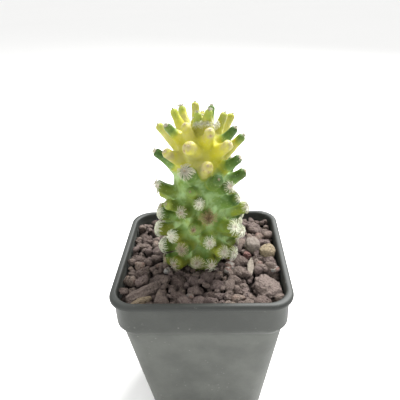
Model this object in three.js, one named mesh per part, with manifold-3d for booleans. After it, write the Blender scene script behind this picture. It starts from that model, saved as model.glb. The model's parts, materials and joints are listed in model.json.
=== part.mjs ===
// Potted variegated cactus, Cochemiea theresae, in a square nursery pot filled with lava gravel.
// Millimetres, +Z up. Origin: centre of the pot's base, on the surface that it stands on.
// The plant stands on the pot's axis; the photographed side faces -Y.
import * as THREE from 'three';
import { mergeVertices } from 'three/addons/utils/BufferGeometryUtils.js';
import Module from 'manifold-3d';

const wasm = await Module();
wasm.setup();

// Pot: a 55 mm square nursery pot
const POT_HEIGHT = 60;
const RIM_HALF = 27.5;
const RIM_CORNER = 7.2;
const LIP_DEPTH = 1.8;
const COLLAR_HALF = 26.4;
const COLLAR_CORNER = 6.7;
const COLLAR_DEPTH = 10.8;
const STEP_DEPTH = 12.9;
const BODY_HALF = 25.1;
const BODY_CORNER = 6.2;
const BASE_HALF = 19.2;
const BASE_CORNER = 6;
const BASE_CHAMFER = 1.6;
const WALL = 1;
const FLOOR = 2.4;
const CHANNEL_WIDTH = 9;
const CHANNEL_DEPTH = 1.3;
const DRAIN_RADIUS = 2.6;
const DRAIN_OFFSET = 12;
const CORNER_STEPS = 4;

// Heights of the plant and the gravel are measured from the plane of the rim
const RIM_Z = POT_HEIGHT;
const GAP = 0.3;

// Plant: one finger for each equal share of the tip surface, turned by the same angle each time
const SHARE = 53;
const FIRST_SHARE = 0.45;
const TURN_DEG = 137.27;
const FIRST_TURN_DEG = 187.5;
const LEAN_X = 0.012;
const LEAN_Y = -0.01;
const CROWN_TILT = 0.2;
const CROWN_TILT_FROM = 33;
const CROWN_TILT_FULL = 42;
const FINGER_STATIONS = [[0, 6], [0.5, 6], [0.88, 12], [1, 12]];
const CROWN_RISE = 1.8;
const ROOT_SHARE = 0.42;
const BASE_RADIUS = 2.7;
const FINGER_SAG = 0.5;

// Surface that the finger tips reach: radius, height, lift of the finger in degrees, tip radius
const TIP_SURFACE = [
  [0, 45.6, 88, 0.85],
  [2.3, 48.4, 80, 1],
  [4.2, 49.2, 74, 1.05],
  [7, 48.3, 66, 1.1],
  [9.4, 46.2, 56, 1.15],
  [11.6, 43.5, 46, 1.2],
  [12.9, 40, 41, 1.25],
  [13.7, 35, 36, 1.3],
  [14.1, 30, 27, 1.45],
  [14.4, 24, 20, 1.75],
  [14.6, 16, 12, 2.1],
  [14.6, 9, 4, 2.3],
  [14, 3, -2, 2.3],
  [12.8, -1.1, -5, 2.2],
];

// Fingers that stand off the rule: number from the crown, degrees round, millimetres up and out
const NUDGES = [
  [0, 75, 1.3, 0],
  [1, -10, 1.5, 0],
  [4, 0, -0.7, 0],
  [7, 0, -1.6, 0],
  [8, 6, 1, 0],
  [9, 0, -0.8, 0],
  [13, 3, 1, 0],
  [14, 5, 0.9, 0],
  [19, 6, -1, 0],
  [22, 3, 0.3, 0],
  [24, 13, 1.2, 0],
  [25, 8, -3.4, -1.5],
  [29, -2, -3.6, 0],
  [33, 8, 0, 0],
  [34, 0, -3.2, 0],
  [35, -4, 1.8, 0],
  [37, 0, -2.8, 0],
  [38, 14, 0.8, 0],
  [39, -14, 0, 0],
  [40, -8, 1, 0],
  [41, 8, 0, 0],
  [42, -4, -5, -1.5],
  [43, -2, 0.5, -0.8],
  [45, 4, 0.8, 0],
  [46, 24, 0, -1],
  [48, -16, 1, 0],
  [55, -12, -1.6, 0],
  [58, 4, -1, 0],
  [59, 6, 0, -1.5],
  [64, -4, 1.5, 0],
  [67, 0, 0, -1],
  [68, -14, 0, 0],
  [71, -5, 0, 0],
  [72, 16, 0, -2.5],
  [76, 0, 0, -1.5],
  [77, -2, 2.2, 0],
  [80, 14, 0, -1.5],
  [82, 0, 3, 0],
];

// Fingers stouter than the rule: number, share of the rule's tip radius
const GIRTHS = { 3: 1.25, 6: 1.25, 11: 1.65, 14: 1.2, 16: 1.15, 19: 1.25, 24: 1.45, 27: 1.3 };

// Core of the stem: radius and height, from the foot of the root neck to the crown
const STEM_OUTLINE = [
  [0, -14],
  [3.2, -13.4],
  [4.7, -10],
  [5, -4.6],
  [5.8, -3.6],
  [7.4, -0.6],
  [8.2, 6],
  [8.6, 14],
  [8.5, 22],
  [8.1, 30],
  [7.4, 35],
  [6, 39],
  [3.6, 42],
  [0, 43.3],
];
const STEM_SIDES = 16;

// Spines: a needle on every other facet round the tip of each finger
const SPINE_LENGTH = 2.3;
const YOUNG_SPINE_LENGTH = 1.4;
const YOUNG_FINGERS = 24;
const SPINE_SPREAD_DEG = 64;
const SPINE_LOWEST = -4;

// Gravel
const SOIL_TOP = -5.6;
const SOIL_FOOT_GAP = 0.3;
const ROOT_HOLE = [
  [0, -15],
  [5.3, -15],
  [5.3, -4.7],
  [6.4, -3.3],
  [8, -0.3],
  [8, 2],
  [0, 2],
];
const GRAIN_SPACING = 5.2;
const GRAIN_SIZE = 3.5;
const GRAIN_TOP = -1.5;
const GRAIN_SCATTER = 1.6;
const GRAIN_CLEARANCE = 0.5;
const STEM_CLEARANCE = 7.4;

// Single stones: place, height of the centre under the rim, size, turn in degrees, colour
const STONES = [
  { name: 'large_stone', at: [20.6, -14.6, -4.2], size: [8.6, 14, 7.4], turn: 8, colour: 0x75605c },
  { name: 'long_stone', at: [-17.3, -16.6, -3.2], size: [14.6, 4.8, 4.2], turn: 38, colour: 0x7b6663 },
  { name: 'grey_pebble', at: [17.3, 5.4, -2.2], size: [5.6, 6, 6.6], turn: 10, colour: 0x8f877f },
  { name: 'cream_pebble', at: [22, 1.2, -1.6], size: [5.6, 5.6, 5.6], turn: 35, colour: 0xb6a58a },
  { name: 'red_chip', at: [15.2, 0.9, -2.9], size: [3.2, 2.8, 2.6], turn: 60, colour: 0xa45a55 },
  { name: 'pale_sliver', at: [15.9, -5.4, -3], size: [10, 2.4, 2.6], turn: 84, colour: 0xb7a89c },
  { name: 'tan_stone', at: [-18.2, -21.6, -3.2], size: [7, 3, 3], turn: 30, colour: 0xa58a6c },
];

const UP = new THREE.Vector3(0, 0, 1);

// Repeatable draw between 0 and 1
function draw(item, channel) {
  const wave = Math.sin(item * 12.9898 + channel * 78.233) * 43758.5453;
  return wave - Math.floor(wave);
}

function mix(from, to, share) {
  return from + (to - from) * share;
}

function radians(degrees) {
  return THREE.MathUtils.degToRad(degrees);
}

// Closed skin through rings, with a fan over the first and the last ring. A ring has as many
// points as the one before or twice as many. A facet of the last band with a peak rises to it.
function loft(rings, peaks = []) {
  const points = rings.flat();
  const ends = points.push(middle(rings[0]), middle(rings[rings.length - 1])) - 2;
  const faces = [];
  let start = 0;
  rings.forEach((ring, index) => {
    const count = ring.length;
    const above = rings[index + 1];
    for (let side = 0; side < count; side++) {
      const a = start + side;
      const b = start + (side + 1) % count;
      if (index === 0) faces.push(ends, b, a);
      if (!above) {
        faces.push(ends + 1, a, b);
        continue;
      }
      const split = above.length / count;
      const [c, d, e] = [0, 1, split].map((step) => start + count + (side * split + step) % above.length);
      const peak = index === rings.length - 2 && peaks[side];
      if (peak) {
        const top = points.push(peak) - 1;
        faces.push(a, b, top, b, d, top, d, c, top, c, a, top);
      } else {
        faces.push(a, b, d, a, d, c);
        if (split === 2) faces.push(b, e, d);
      }
    }
    start += count;
  });
  const geometry = new THREE.BufferGeometry();
  geometry.setAttribute('position', new THREE.Float32BufferAttribute(points.flatMap((p) => p.toArray()), 3));
  geometry.setIndex(faces);
  return geometry;
}

function middle(ring) {
  const sum = new THREE.Vector3();
  for (const point of ring) sum.add(point);
  return sum.divideScalar(ring.length);
}

// Geometry to a solid that can be cut and joined, and back
function toSolid(geometry) {
  const bare = new THREE.BufferGeometry();
  bare.setAttribute('position', geometry.getAttribute('position'));
  if (geometry.index) bare.setIndex(geometry.index);
  const merged = mergeVertices(bare, 1e-4);
  return new wasm.Manifold(new wasm.Mesh({
    numProp: 3,
    vertProperties: new Float32Array(merged.getAttribute('position').array),
    triVerts: new Uint32Array(merged.index.array),
  }));
}

function toGeometry(solid) {
  const mesh = solid.getMesh();
  const geometry = new THREE.BufferGeometry();
  geometry.setAttribute('position', new THREE.Float32BufferAttribute(mesh.vertProperties, 3));
  geometry.setIndex(Array.from(mesh.triVerts));
  return geometry;
}

// The largest of the bodies that a cut leaves
function largest(solid) {
  const bodies = solid.decompose();
  bodies.sort((a, b) => b.volume() - a.volume());
  return bodies[0];
}

function join(solids) {
  let result = solids[0];
  for (const next of solids.slice(1)) result = result.add(next);
  return result;
}

// Ring of points round a square with round corners
function squareRing([half, corner, height]) {
  const ring = [];
  for (let quarter = 0; quarter < 4; quarter++) {
    const centre = new THREE.Vector3(half - corner, half - corner, 0);
    centre.applyAxisAngle(UP, quarter * Math.PI / 2);
    for (let step = 0; step <= CORNER_STEPS; step++) {
      const angle = (quarter + step / CORNER_STEPS) * Math.PI / 2;
      ring.push(new THREE.Vector3(
        centre.x + corner * Math.cos(angle),
        centre.y + corner * Math.sin(angle),
        height,
      ));
    }
  }
  return ring;
}

// The pot's inside, from the floor up: half width, corner radius, height
const INSIDE = [
  [BASE_HALF - WALL + 0.25, BASE_CORNER - WALL, FLOOR],
  [BODY_HALF - WALL, BODY_CORNER - WALL, RIM_Z - STEP_DEPTH - WALL],
  [COLLAR_HALF - WALL, COLLAR_CORNER - WALL, RIM_Z - COLLAR_DEPTH],
  [COLLAR_HALF - WALL, COLLAR_CORNER - WALL, RIM_Z - 1.2],
];

function pot() {
  const outside = [
    [BASE_HALF - BASE_CHAMFER, BASE_CORNER - BASE_CHAMFER, 0],
    [BASE_HALF, BASE_CORNER, BASE_CHAMFER],
    [BODY_HALF, BODY_CORNER, RIM_Z - STEP_DEPTH],
    [BODY_HALF + 0.5, BODY_CORNER + 0.1, RIM_Z - STEP_DEPTH + 0.4],
    [COLLAR_HALF, COLLAR_CORNER, RIM_Z - COLLAR_DEPTH],
    [COLLAR_HALF, COLLAR_CORNER, RIM_Z - LIP_DEPTH - 0.3],
    [RIM_HALF - 0.3, RIM_CORNER - 0.2, RIM_Z - LIP_DEPTH],
    [RIM_HALF, RIM_CORNER, RIM_Z - LIP_DEPTH + 0.5],
    [RIM_HALF, RIM_CORNER, RIM_Z - 0.8],
    [RIM_HALF - 0.6, RIM_CORNER - 0.4, RIM_Z],
    [COLLAR_HALF - 0.5, COLLAR_CORNER - 0.5, RIM_Z],
  ];
  const rings = [...outside, ...INSIDE.slice().reverse()].map(squareRing);
  let shell = toSolid(loft(rings));
  const length = 2 * RIM_HALF;
  for (const size of [[length, CHANNEL_WIDTH], [CHANNEL_WIDTH, length]]) {
    shell = shell.subtract(toSolid(new THREE.BoxGeometry(size[0], size[1], 2 * CHANNEL_DEPTH)));
  }
  const drains = [[0, 0], [DRAIN_OFFSET, 0], [0, DRAIN_OFFSET], [-DRAIN_OFFSET, 0], [0, -DRAIN_OFFSET]];
  for (const [x, y] of drains) {
    const drain = new THREE.CylinderGeometry(DRAIN_RADIUS, DRAIN_RADIUS, 4 * FLOOR, 12);
    drain.rotateX(Math.PI / 2).translate(x, y, 0);
    shell = shell.subtract(toSolid(drain));
  }
  return shell;
}

// Place on the tip surface that lies a given area out from its top
function tipSurfaceAt(area) {
  let before = 0;
  for (let row = 0; row + 1 < TIP_SURFACE.length; row++) {
    const [r0, z0] = TIP_SURFACE[row];
    const [r1, z1] = TIP_SURFACE[row + 1];
    const band = Math.PI * (r0 + r1) * Math.hypot(r1 - r0, z1 - z0);
    if (area <= before + band) {
      const share = (area - before) / band;
      return TIP_SURFACE[row].map((value, column) => mix(value, TIP_SURFACE[row + 1][column], share));
    }
    before += band;
  }
  return null;
}

// Root, tip and radius of each finger, from the crown down
function fingers() {
  const list = [];
  for (let number = 0; ; number++) {
    const place = tipSurfaceAt(SHARE * (number + FIRST_SHARE));
    if (!place) return list;
    const nudge = NUDGES.find((row) => row[0] === number) ?? [number, 0, 0, 0];
    const [, turned, raised, drawn] = nudge;
    const [radius, height, lift, tipRadius] = place;
    const angle = radians(FIRST_TURN_DEG + number * TURN_DEG + turned);
    const out = new THREE.Vector3(Math.cos(angle), Math.sin(angle), 0);
    const { smoothstep } = THREE.MathUtils;
    const tilt = CROWN_TILT * smoothstep(height, CROWN_TILT_FROM, CROWN_TILT_FULL);
    const rise = CROWN_RISE * smoothstep(height, 34, 38) * (1 - smoothstep(height, 45.5, 48));
    const tip = out.clone().multiplyScalar(radius + drawn);
    tip.z = height + raised + rise + tilt * tip.y;
    const run = radius * (1 - ROOT_SHARE);
    const root = out.clone().multiplyScalar(radius - run);
    root.z = height + raised + rise - run * Math.tan(radians(lift));
    list.push({ number, root, tip, tipRadius: tipRadius * (GIRTHS[number] ?? 1) });
  }
}

// Middle line and thickness of a finger, from root (0) to tip (1)
function fingerPoint({ root, tip }, share) {
  const point = root.clone().lerp(tip, share);
  point.z -= FINGER_SAG * 4 * share * (1 - share);
  return point;
}

function fingerRadius({ tipRadius }, share) {
  const waist = 0.92 * tipRadius;
  const end = share > 0.95 ? 0.68 : 1;
  return end * (waist + (BASE_RADIUS - waist) * (1 - share) ** 1.5);
}

// Two directions square to an axis
function across(axis) {
  const side = new THREE.Vector3().crossVectors(UP, axis).normalize();
  return [side, new THREE.Vector3().crossVectors(axis, side)];
}

// A finger with its crown of spines
function fingerSolid(finger) {
  const axis = finger.tip.clone().sub(finger.root).normalize();
  const [side, over] = across(axis);
  const twist = Math.PI * draw(finger.number, 1);
  const outward = (turn) => {
    const angle = twist + turn * 2 * Math.PI;
    return side.clone().multiplyScalar(Math.cos(angle)).addScaledVector(over, Math.sin(angle));
  };
  const rings = FINGER_STATIONS.map(([share, count]) => {
    const centre = fingerPoint(finger, share);
    const radius = fingerRadius(finger, share);
    return Array.from({ length: count }, (_, step) => {
      return centre.clone().addScaledVector(outward(step / count), radius);
    });
  });
  const length = finger.number < YOUNG_FINGERS ? YOUNG_SPINE_LENGTH : SPINE_LENGTH;
  const spread = radians(SPINE_SPREAD_DEG);
  const peaks = rings[rings.length - 1].map((_, step) => {
    const sideways = outward((step + 0.5) / rings[rings.length - 1].length);
    const peak = finger.tip.clone()
      .addScaledVector(axis, length * Math.cos(spread))
      .addScaledVector(sideways, finger.tipRadius * 0.7 + length * Math.sin(spread));
    return step % 2 === 0 && peak.z > SPINE_LOWEST ? peak : null;
  });
  return toSolid(loft(rings, peaks));
}

function cactus() {
  const outline = STEM_OUTLINE.map(([radius, height]) => new THREE.Vector2(radius, height));
  const stem = new THREE.LatheGeometry(outline, STEM_SIDES).rotateX(Math.PI / 2);
  const geometry = toGeometry(largest(join([toSolid(stem), ...fingers().map(fingerSolid)])));
  const lean = new THREE.Matrix4().set(1, 0, LEAN_X, 0, 0, 1, LEAN_Y, 0, 0, 0, 1, RIM_Z, 0, 0, 0, 1);
  return geometry.applyMatrix4(lean);
}

// Uneven stone round the origin, of unit half size
function roughStone(seed, detail, roughness) {
  const stone = new THREE.IcosahedronGeometry(1, detail);
  stone.deleteAttribute('normal');
  stone.deleteAttribute('uv');
  const merged = mergeVertices(stone, 1e-4);
  const place = merged.getAttribute('position');
  for (let corner = 0; corner < place.count; corner++) {
    const scale = 1 - roughness * draw(seed, corner);
    place.setXYZ(corner, place.getX(corner) * scale, place.getY(corner) * scale, place.getZ(corner) * scale);
  }
  return merged;
}

function stoneGeometry({ at, size, turn }, seed, grow) {
  const stone = roughStone(seed, 1, 0.16);
  stone.scale(size[0] / 2 + grow, size[1] / 2 + grow, size[2] / 2 + grow);
  stone.rotateZ(radians(turn));
  return stone.translate(at[0], at[1], at[2] + RIM_Z);
}

// Lowest point of the fingers and their spines over a grain
function ceilingOver(x, y, half, over) {
  let lowest = 0;
  for (const finger of over) {
    for (const share of [0.4, 0.6, 0.8, 1]) {
      const centre = fingerPoint(finger, share);
      const spines = share === 1 ? SPINE_LENGTH : 0;
      const radius = fingerRadius(finger, share) + spines;
      const away = Math.hypot(centre.x - x, centre.y - y);
      if (away < radius + half) lowest = Math.min(lowest, centre.z - radius);
    }
  }
  return Math.max(lowest, SPINE_LOWEST);
}

// Gravel grains on a shaken grid, low enough to pass under the plant's fingers
function grains() {
  const solids = [];
  const over = fingers().filter(({ tip }) => tip.z < 2 * SPINE_LENGTH);
  const rowStep = GRAIN_SPACING * Math.sqrt(3) / 2;
  const reach = Math.ceil(COLLAR_HALF / rowStep);
  for (let row = -reach; row <= reach; row++) {
    for (let column = -reach; column <= reach; column++) {
      const seed = (row + reach) * 40 + column + reach;
      const x = (column + (row % 2 ? 0.5 : 0) + 0.4 * (draw(seed, 1) - 0.5)) * GRAIN_SPACING;
      const y = row * rowStep + 0.4 * (draw(seed, 2) - 0.5) * GRAIN_SPACING;
      const fromAxis = Math.hypot(x, y);
      if (fromAxis < STEM_CLEARANCE || Math.max(Math.abs(x), Math.abs(y)) > COLLAR_HALF - WALL) continue;
      const half = GRAIN_SIZE * mix(0.85, 1.15, draw(seed, 3));
      const free = GRAIN_TOP - GRAIN_SCATTER * draw(seed, 4);
      const highest = Math.min(free, ceilingOver(x, y, half, over) - GRAIN_CLEARANCE);
      const tall = half * 0.75;
      const grain = roughStone(seed, 0, 0.25);
      grain.rotateZ(Math.PI * draw(seed, 5)).rotateX(Math.PI * draw(seed, 6));
      grain.scale(half, half * mix(0.8, 1, draw(seed, 7)), tall).rotateZ(Math.PI * draw(seed, 8));
      grain.translate(x, y, RIM_Z + highest - tall);
      solids.push(toSolid(grain));
    }
  }
  return solids;
}

function soil() {
  const filling = INSIDE.map(([half, corner, height]) => [half - GAP, corner - GAP, height]);
  filling[0][2] += SOIL_FOOT_GAP;
  const inside = toSolid(loft(filling.map(squareRing)));
  const cut = new THREE.BoxGeometry(2 * RIM_HALF, 2 * RIM_HALF, POT_HEIGHT);
  cut.translate(0, 0, RIM_Z + SOIL_TOP + POT_HEIGHT / 2);
  const holeOutline = ROOT_HOLE.map(([radius, height]) => new THREE.Vector2(radius, height));
  const hole = new THREE.LatheGeometry(holeOutline, STEM_SIDES);
  hole.rotateX(Math.PI / 2).translate(0, 0, RIM_Z);
  let bed = join([inside.subtract(toSolid(cut)), ...grains()]).intersect(inside).subtract(toSolid(hole));
  STONES.forEach((stone, index) => {
    bed = bed.subtract(toSolid(stoneGeometry(stone, index, GAP)));
  });
  return toGeometry(largest(bed));
}

function piece(name, geometry, colour, roughness) {
  const material = new THREE.MeshStandardMaterial({ color: colour, roughness, metalness: 0 });
  const mesh = new THREE.Mesh(geometry, material);
  mesh.name = name;
  return mesh;
}

const part = new THREE.Group();
part.add(piece('pot', toGeometry(largest(pot())), 0x3b403d, 0.5));
part.add(piece('soil', soil(), 0x6b5a56, 0.95));
part.add(piece('cactus', cactus(), 0x9aae3c, 0.6));
STONES.forEach((stone, index) => {
  part.add(piece(stone.name, stoneGeometry(stone, index, 0), stone.colour, 0.95));
});

export default part;
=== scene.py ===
"""Potted variegated cactus in a square nursery pot of lava gravel.

Every shape is worked out in millimetres from the middle of the rim's plane, X to the right,
Y away from the photographed side and Z up, and is put into the frame as it becomes a mesh.
"""
import json
import math

import bmesh
import bpy
import numpy as np
from mathutils import Matrix, Vector

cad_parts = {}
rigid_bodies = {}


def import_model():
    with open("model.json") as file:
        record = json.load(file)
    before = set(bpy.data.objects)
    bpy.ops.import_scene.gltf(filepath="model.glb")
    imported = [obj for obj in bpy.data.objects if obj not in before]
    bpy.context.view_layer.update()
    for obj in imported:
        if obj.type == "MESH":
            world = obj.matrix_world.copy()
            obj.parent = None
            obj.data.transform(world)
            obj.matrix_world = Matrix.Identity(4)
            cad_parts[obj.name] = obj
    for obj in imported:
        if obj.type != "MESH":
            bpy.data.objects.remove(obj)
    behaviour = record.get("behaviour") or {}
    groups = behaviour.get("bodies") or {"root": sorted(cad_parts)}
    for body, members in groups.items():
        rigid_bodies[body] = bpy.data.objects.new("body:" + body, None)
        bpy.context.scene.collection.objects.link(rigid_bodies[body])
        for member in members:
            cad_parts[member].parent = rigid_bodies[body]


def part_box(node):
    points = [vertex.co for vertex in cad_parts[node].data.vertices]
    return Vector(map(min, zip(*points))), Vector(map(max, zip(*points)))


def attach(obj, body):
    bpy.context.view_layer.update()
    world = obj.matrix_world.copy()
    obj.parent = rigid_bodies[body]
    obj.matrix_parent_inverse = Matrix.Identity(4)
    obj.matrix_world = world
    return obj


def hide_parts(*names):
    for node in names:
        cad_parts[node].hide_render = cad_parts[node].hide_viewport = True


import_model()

bl_info = {
    "name": "Potted variegated cactus",
    "version": (1, 0, 0),
    "blender": (4, 5, 0),
    "location": "3D View > Sidebar > Potted cactus",
    "description": "Builds the pot, the gravel, the single stones, the plant and its stage",
    "category": "Object",
}

MM = 0.001
RIM_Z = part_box("pot")[1][2] / MM
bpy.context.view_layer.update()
TURN = 2 * math.pi

# Pot, as half widths, corner radii and depths under the rim
RIM_HALF, RIM_CORNER, LIP_DEPTH = 27.5, 7.2, 1.8
COLLAR_HALF, COLLAR_CORNER, COLLAR_DEPTH = 26.4, 6.7, 10.8
BODY_HALF, BODY_CORNER, STEP_DEPTH = 25.1, 6.2, 12.9
BASE_HALF, BASE_CORNER, BASE_CHAMFER = 19.2, 6.0, 1.6
WALL, FLOOR = 1.0, 2.4
CHANNEL_WIDTH, CHANNEL_DEPTH = 9.0, 1.3
DRAIN_RADIUS, DRAIN_OFFSET = 2.6, 12.0
CORNER_STEPS, DRAIN_SIDES = 14, 32
FOOT = -RIM_Z

# Rounds of the lip, half widths inside, and heights of the step and the lip in the frame
LIP_EDGE, LIP_TOP, LIP_INSIDE = 0.5, 0.9, 0.7
INNER_COLLAR, INNER_BODY, INNER_BASE = COLLAR_HALF - WALL, BODY_HALF - WALL, BASE_HALF - WALL + 0.25
STEP_Z, LIP_Z = (RIM_Z - STEP_DEPTH) * MM, (RIM_Z - LIP_DEPTH) * MM

# Soft corners up the outside: half width, depth, and steps outward and up from there
SOFT_CORNERS = (
    (BODY_HALF, STEP_DEPTH, ((-0.06, -0.5), (0.02, 0), (0.45, 0.35))),
    (COLLAR_HALF, COLLAR_DEPTH, ((-0.25, -0.5), (-0.04, -0.1), (0, 0.4))),
    (COLLAR_HALF, LIP_DEPTH, ((0, -0.5), (0.12, -0.12), (0.5, 0))),
)
SHARP_DEG = 40

# Plant: one finger for each equal share of the tip surface
SHARE = 53.0
FIRST_SHARE = 0.45
TURN_DEG = 137.27
FIRST_TURN_DEG = 187.5
LEAN = (0.012, -0.01)
ROOT_SHARE = 0.42
BASE_RADIUS = 2.7
FINGER_SAG = 0.5

# Crown: slope that raises its back, rise of its shoulder, and the heights where these set in and end
CROWN_TILT, CROWN_TILT_BAND = 0.2, (33.0, 42.0)
CROWN_RISE, CROWN_RISE_BAND, CROWN_FALL_BAND = 1.8, (34, 38), (45.5, 48)

# Finger: waist and bulb as shares of the tip radius, where the bulb lies, its spread, and the flat end
WAIST, BULB, BULB_AT, BULB_SPREAD = 0.9, 0.1, 0.88, 0.12
FLATTEN = 1.4

# Surface that the finger tips reach: radius, height, lift of the finger in degrees, tip radius
TIP_SURFACE = (
    (0, 45.6, 88, 0.85),
    (2.3, 48.4, 80, 1),
    (4.2, 49.2, 74, 1.05),
    (7, 48.3, 66, 1.1),
    (9.4, 46.2, 56, 1.15),
    (11.6, 43.5, 46, 1.2),
    (12.9, 40, 41, 1.25),
    (13.7, 35, 36, 1.3),
    (14.1, 30, 27, 1.45),
    (14.4, 24, 20, 1.75),
    (14.6, 16, 12, 2.1),
    (14.6, 9, 4, 2.3),
    (14, 3, -2, 2.3),
    (12.8, -1.1, -5, 2.2),
)

# Fingers that stand off the rule: number from the crown, degrees round, millimetres up and out
NUDGES = {
    0: (75, 1.3, 0), 1: (-10, 1.5, 0), 4: (0, -0.7, 0), 7: (0, -1.6, 0), 8: (6, 1, 0),
    9: (0, -0.8, 0), 13: (3, 1, 0), 14: (5, 0.9, 0), 19: (6, -1, 0), 22: (3, 0.3, 0),
    24: (13, 1.2, 0), 25: (8, -3.4, -1.5), 29: (-2, -3.6, 0), 33: (8, 0, 0), 34: (0, -3.2, 0),
    35: (-4, 1.8, 0), 37: (0, -2.8, 0), 38: (14, 0.8, 0), 39: (-14, 0, 0), 40: (-8, 1, 0),
    41: (8, 0, 0), 42: (-4, -5, -1.5), 43: (-2, 0.5, -0.8), 45: (4, 0.8, 0), 46: (24, 0, -1),
    48: (-16, 1, 0), 55: (-12, -1.6, 0), 58: (4, -1, 0), 59: (6, 0, -1.5), 64: (-4, 1.5, 0),
    67: (0, 0, -1), 68: (-14, 0, 0), 71: (-5, 0, 0), 72: (16, 0, -2.5), 76: (0, 0, -1.5),
    77: (-2, 2.2, 0), 80: (14, 0, -1.5), 82: (0, 3, 0),
}

# Fingers stouter than the rule: number and share of the rule's tip radius
GIRTHS = {3: 1.25, 6: 1.25, 11: 1.65, 14: 1.2, 16: 1.15, 19: 1.25, 24: 1.45, 27: 1.3}

# Stem: radius and height, from the foot of the root neck to where the crown rounds over
STEM_OUTLINE = (
    (3.2, -13.4),
    (4.7, -10),
    (5, -4.6),
    (5.8, -3.6),
    (7.4, -0.6),
    (8.2, 6),
    (8.6, 14),
    (8.5, 22),
    (8.1, 30),
    (7.3, 36),
)
STEM_FOOT = -14.0

# Rough skins that the joined skin starts from: top of the stem, sides, and rings along a finger
STEM_ROUND = ((6.2, 40), (3.8, 42.4), (0.6, 43.3))
STEM_SIDES, FINGER_SIDES = 40, 12
FINGER_RINGS = (0, 0.25, 0.5, 0.75, 0.93, 1.0)

# Skin: softness of its joins, size of its cells, ripples, and rounds that bring its points into place
FILLET = 0.42
VOXEL = 0.352
RIPPLE_HEIGHT, RIPPLE_SIZE, RIPPLE_SEED = 0.09, 3.2, 5
SKIN_ROUNDS, EVEN_ROUNDS, EVENING = 2, 2, 0.6

# Fingers that shape each point, found by points at these shares of their length
NEAR_FINGERS, NEAR_SHARES, POINTS_AT_ONCE = 9, (0.35, 0.7, 1.0), 6000

# Single stones: place of the centre, size and turn in degrees
STONES = {
    "large_stone": ((20.6, -14.6, -4.2), (8.6, 14, 7.4), 8),
    "long_stone": ((-17.3, -16.6, -3.2), (14.6, 4.8, 4.2), 38),
    "grey_pebble": ((17.3, 5.4, -2.2), (5.6, 6, 6.6), 10),
    "cream_pebble": ((22, 1.2, -1.6), (5.6, 5.6, 5.6), 35),
    "red_chip": ((15.2, 0.9, -2.9), (3.2, 2.8, 2.6), 60),
    "pale_sliver": ((15.9, -5.4, -3), (10, 2.4, 2.6), 84),
    "tan_stone": ((-18.2, -21.6, -3.2), (7, 3, 3), 30),
}

# Camera: place, angles in degrees and lens for a square picture
CAMERA_AT = (5.9, -118.4, 83.8)
CAMERA_DOWN, CAMERA_LEFT, CAMERA_ROLL = 28.44, 2.90, 2.40
FOCAL_PIXELS, PICTURE_PIXELS, SENSOR = 424.9, 400, 36.0


def draw(item, channel):
    """Repeatable draw between 0 and 1."""
    wave = math.sin(item * 12.9898 + channel * 78.233) * 43758.5453
    return wave - math.floor(wave)


def smoothstep(value, low, high):
    share = np.clip((value - low) / (high - low), 0, 1)
    return share * share * (3 - 2 * share)


def to_frame(points):
    """Millimetres from the rim's plane to metres in the frame."""
    return (np.asarray(points, float) + (0, 0, RIM_Z)) * MM


def unit(vectors):
    return vectors / np.linalg.norm(vectors, axis=-1, keepdims=True)


def wave_noise(points, seed, scale):
    """Smooth noise from -1 to 1 as a sum of a few turned waves."""
    draws = np.random.default_rng(seed)
    total = np.zeros(len(points))
    for octave in (1.0, 1.9, 3.7):
        for _ in range(4):
            way = unit(draws.normal(size=3)) * octave / scale
            total += np.sin(points @ way * TURN + draws.uniform(0, TURN)) / octave
    return total / 6.0


def unit_circle(sides):
    angles = np.linspace(0, TURN, sides, endpoint=False)
    return np.stack([np.cos(angles), np.sin(angles)], 1)


def flat_ring(outline, height):
    """Flat outline raised to a height."""
    return np.c_[outline, np.full(len(outline), height)]


def math_operators(operation):
    """Methods that add a Math node to a wire, with the wire first and with it second."""

    def first(wire, other):
        return wire.board.node("ShaderNodeMath", {"operation": operation}, {0: wire, 1: other})

    def second(wire, other):
        return wire.board.node("ShaderNodeMath", {"operation": operation}, {0: other, 1: wire})

    return first, second


class Wire:
    """An output socket of a node tree. Arithmetic on it adds Math nodes."""

    __add__, __radd__ = math_operators("ADD")
    __sub__, __rsub__ = math_operators("SUBTRACT")
    __mul__, __rmul__ = math_operators("MULTIPLY")

    def __init__(self, board, socket):
        self.board = board
        self.socket = socket

    def band(self, low, high):
        """0 below low, 1 above high and smooth between them."""
        settings = {"interpolation_type": "SMOOTHSTEP"}
        return self.board.node("ShaderNodeMapRange", settings, {0: self, 1: low, 2: high})


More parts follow.
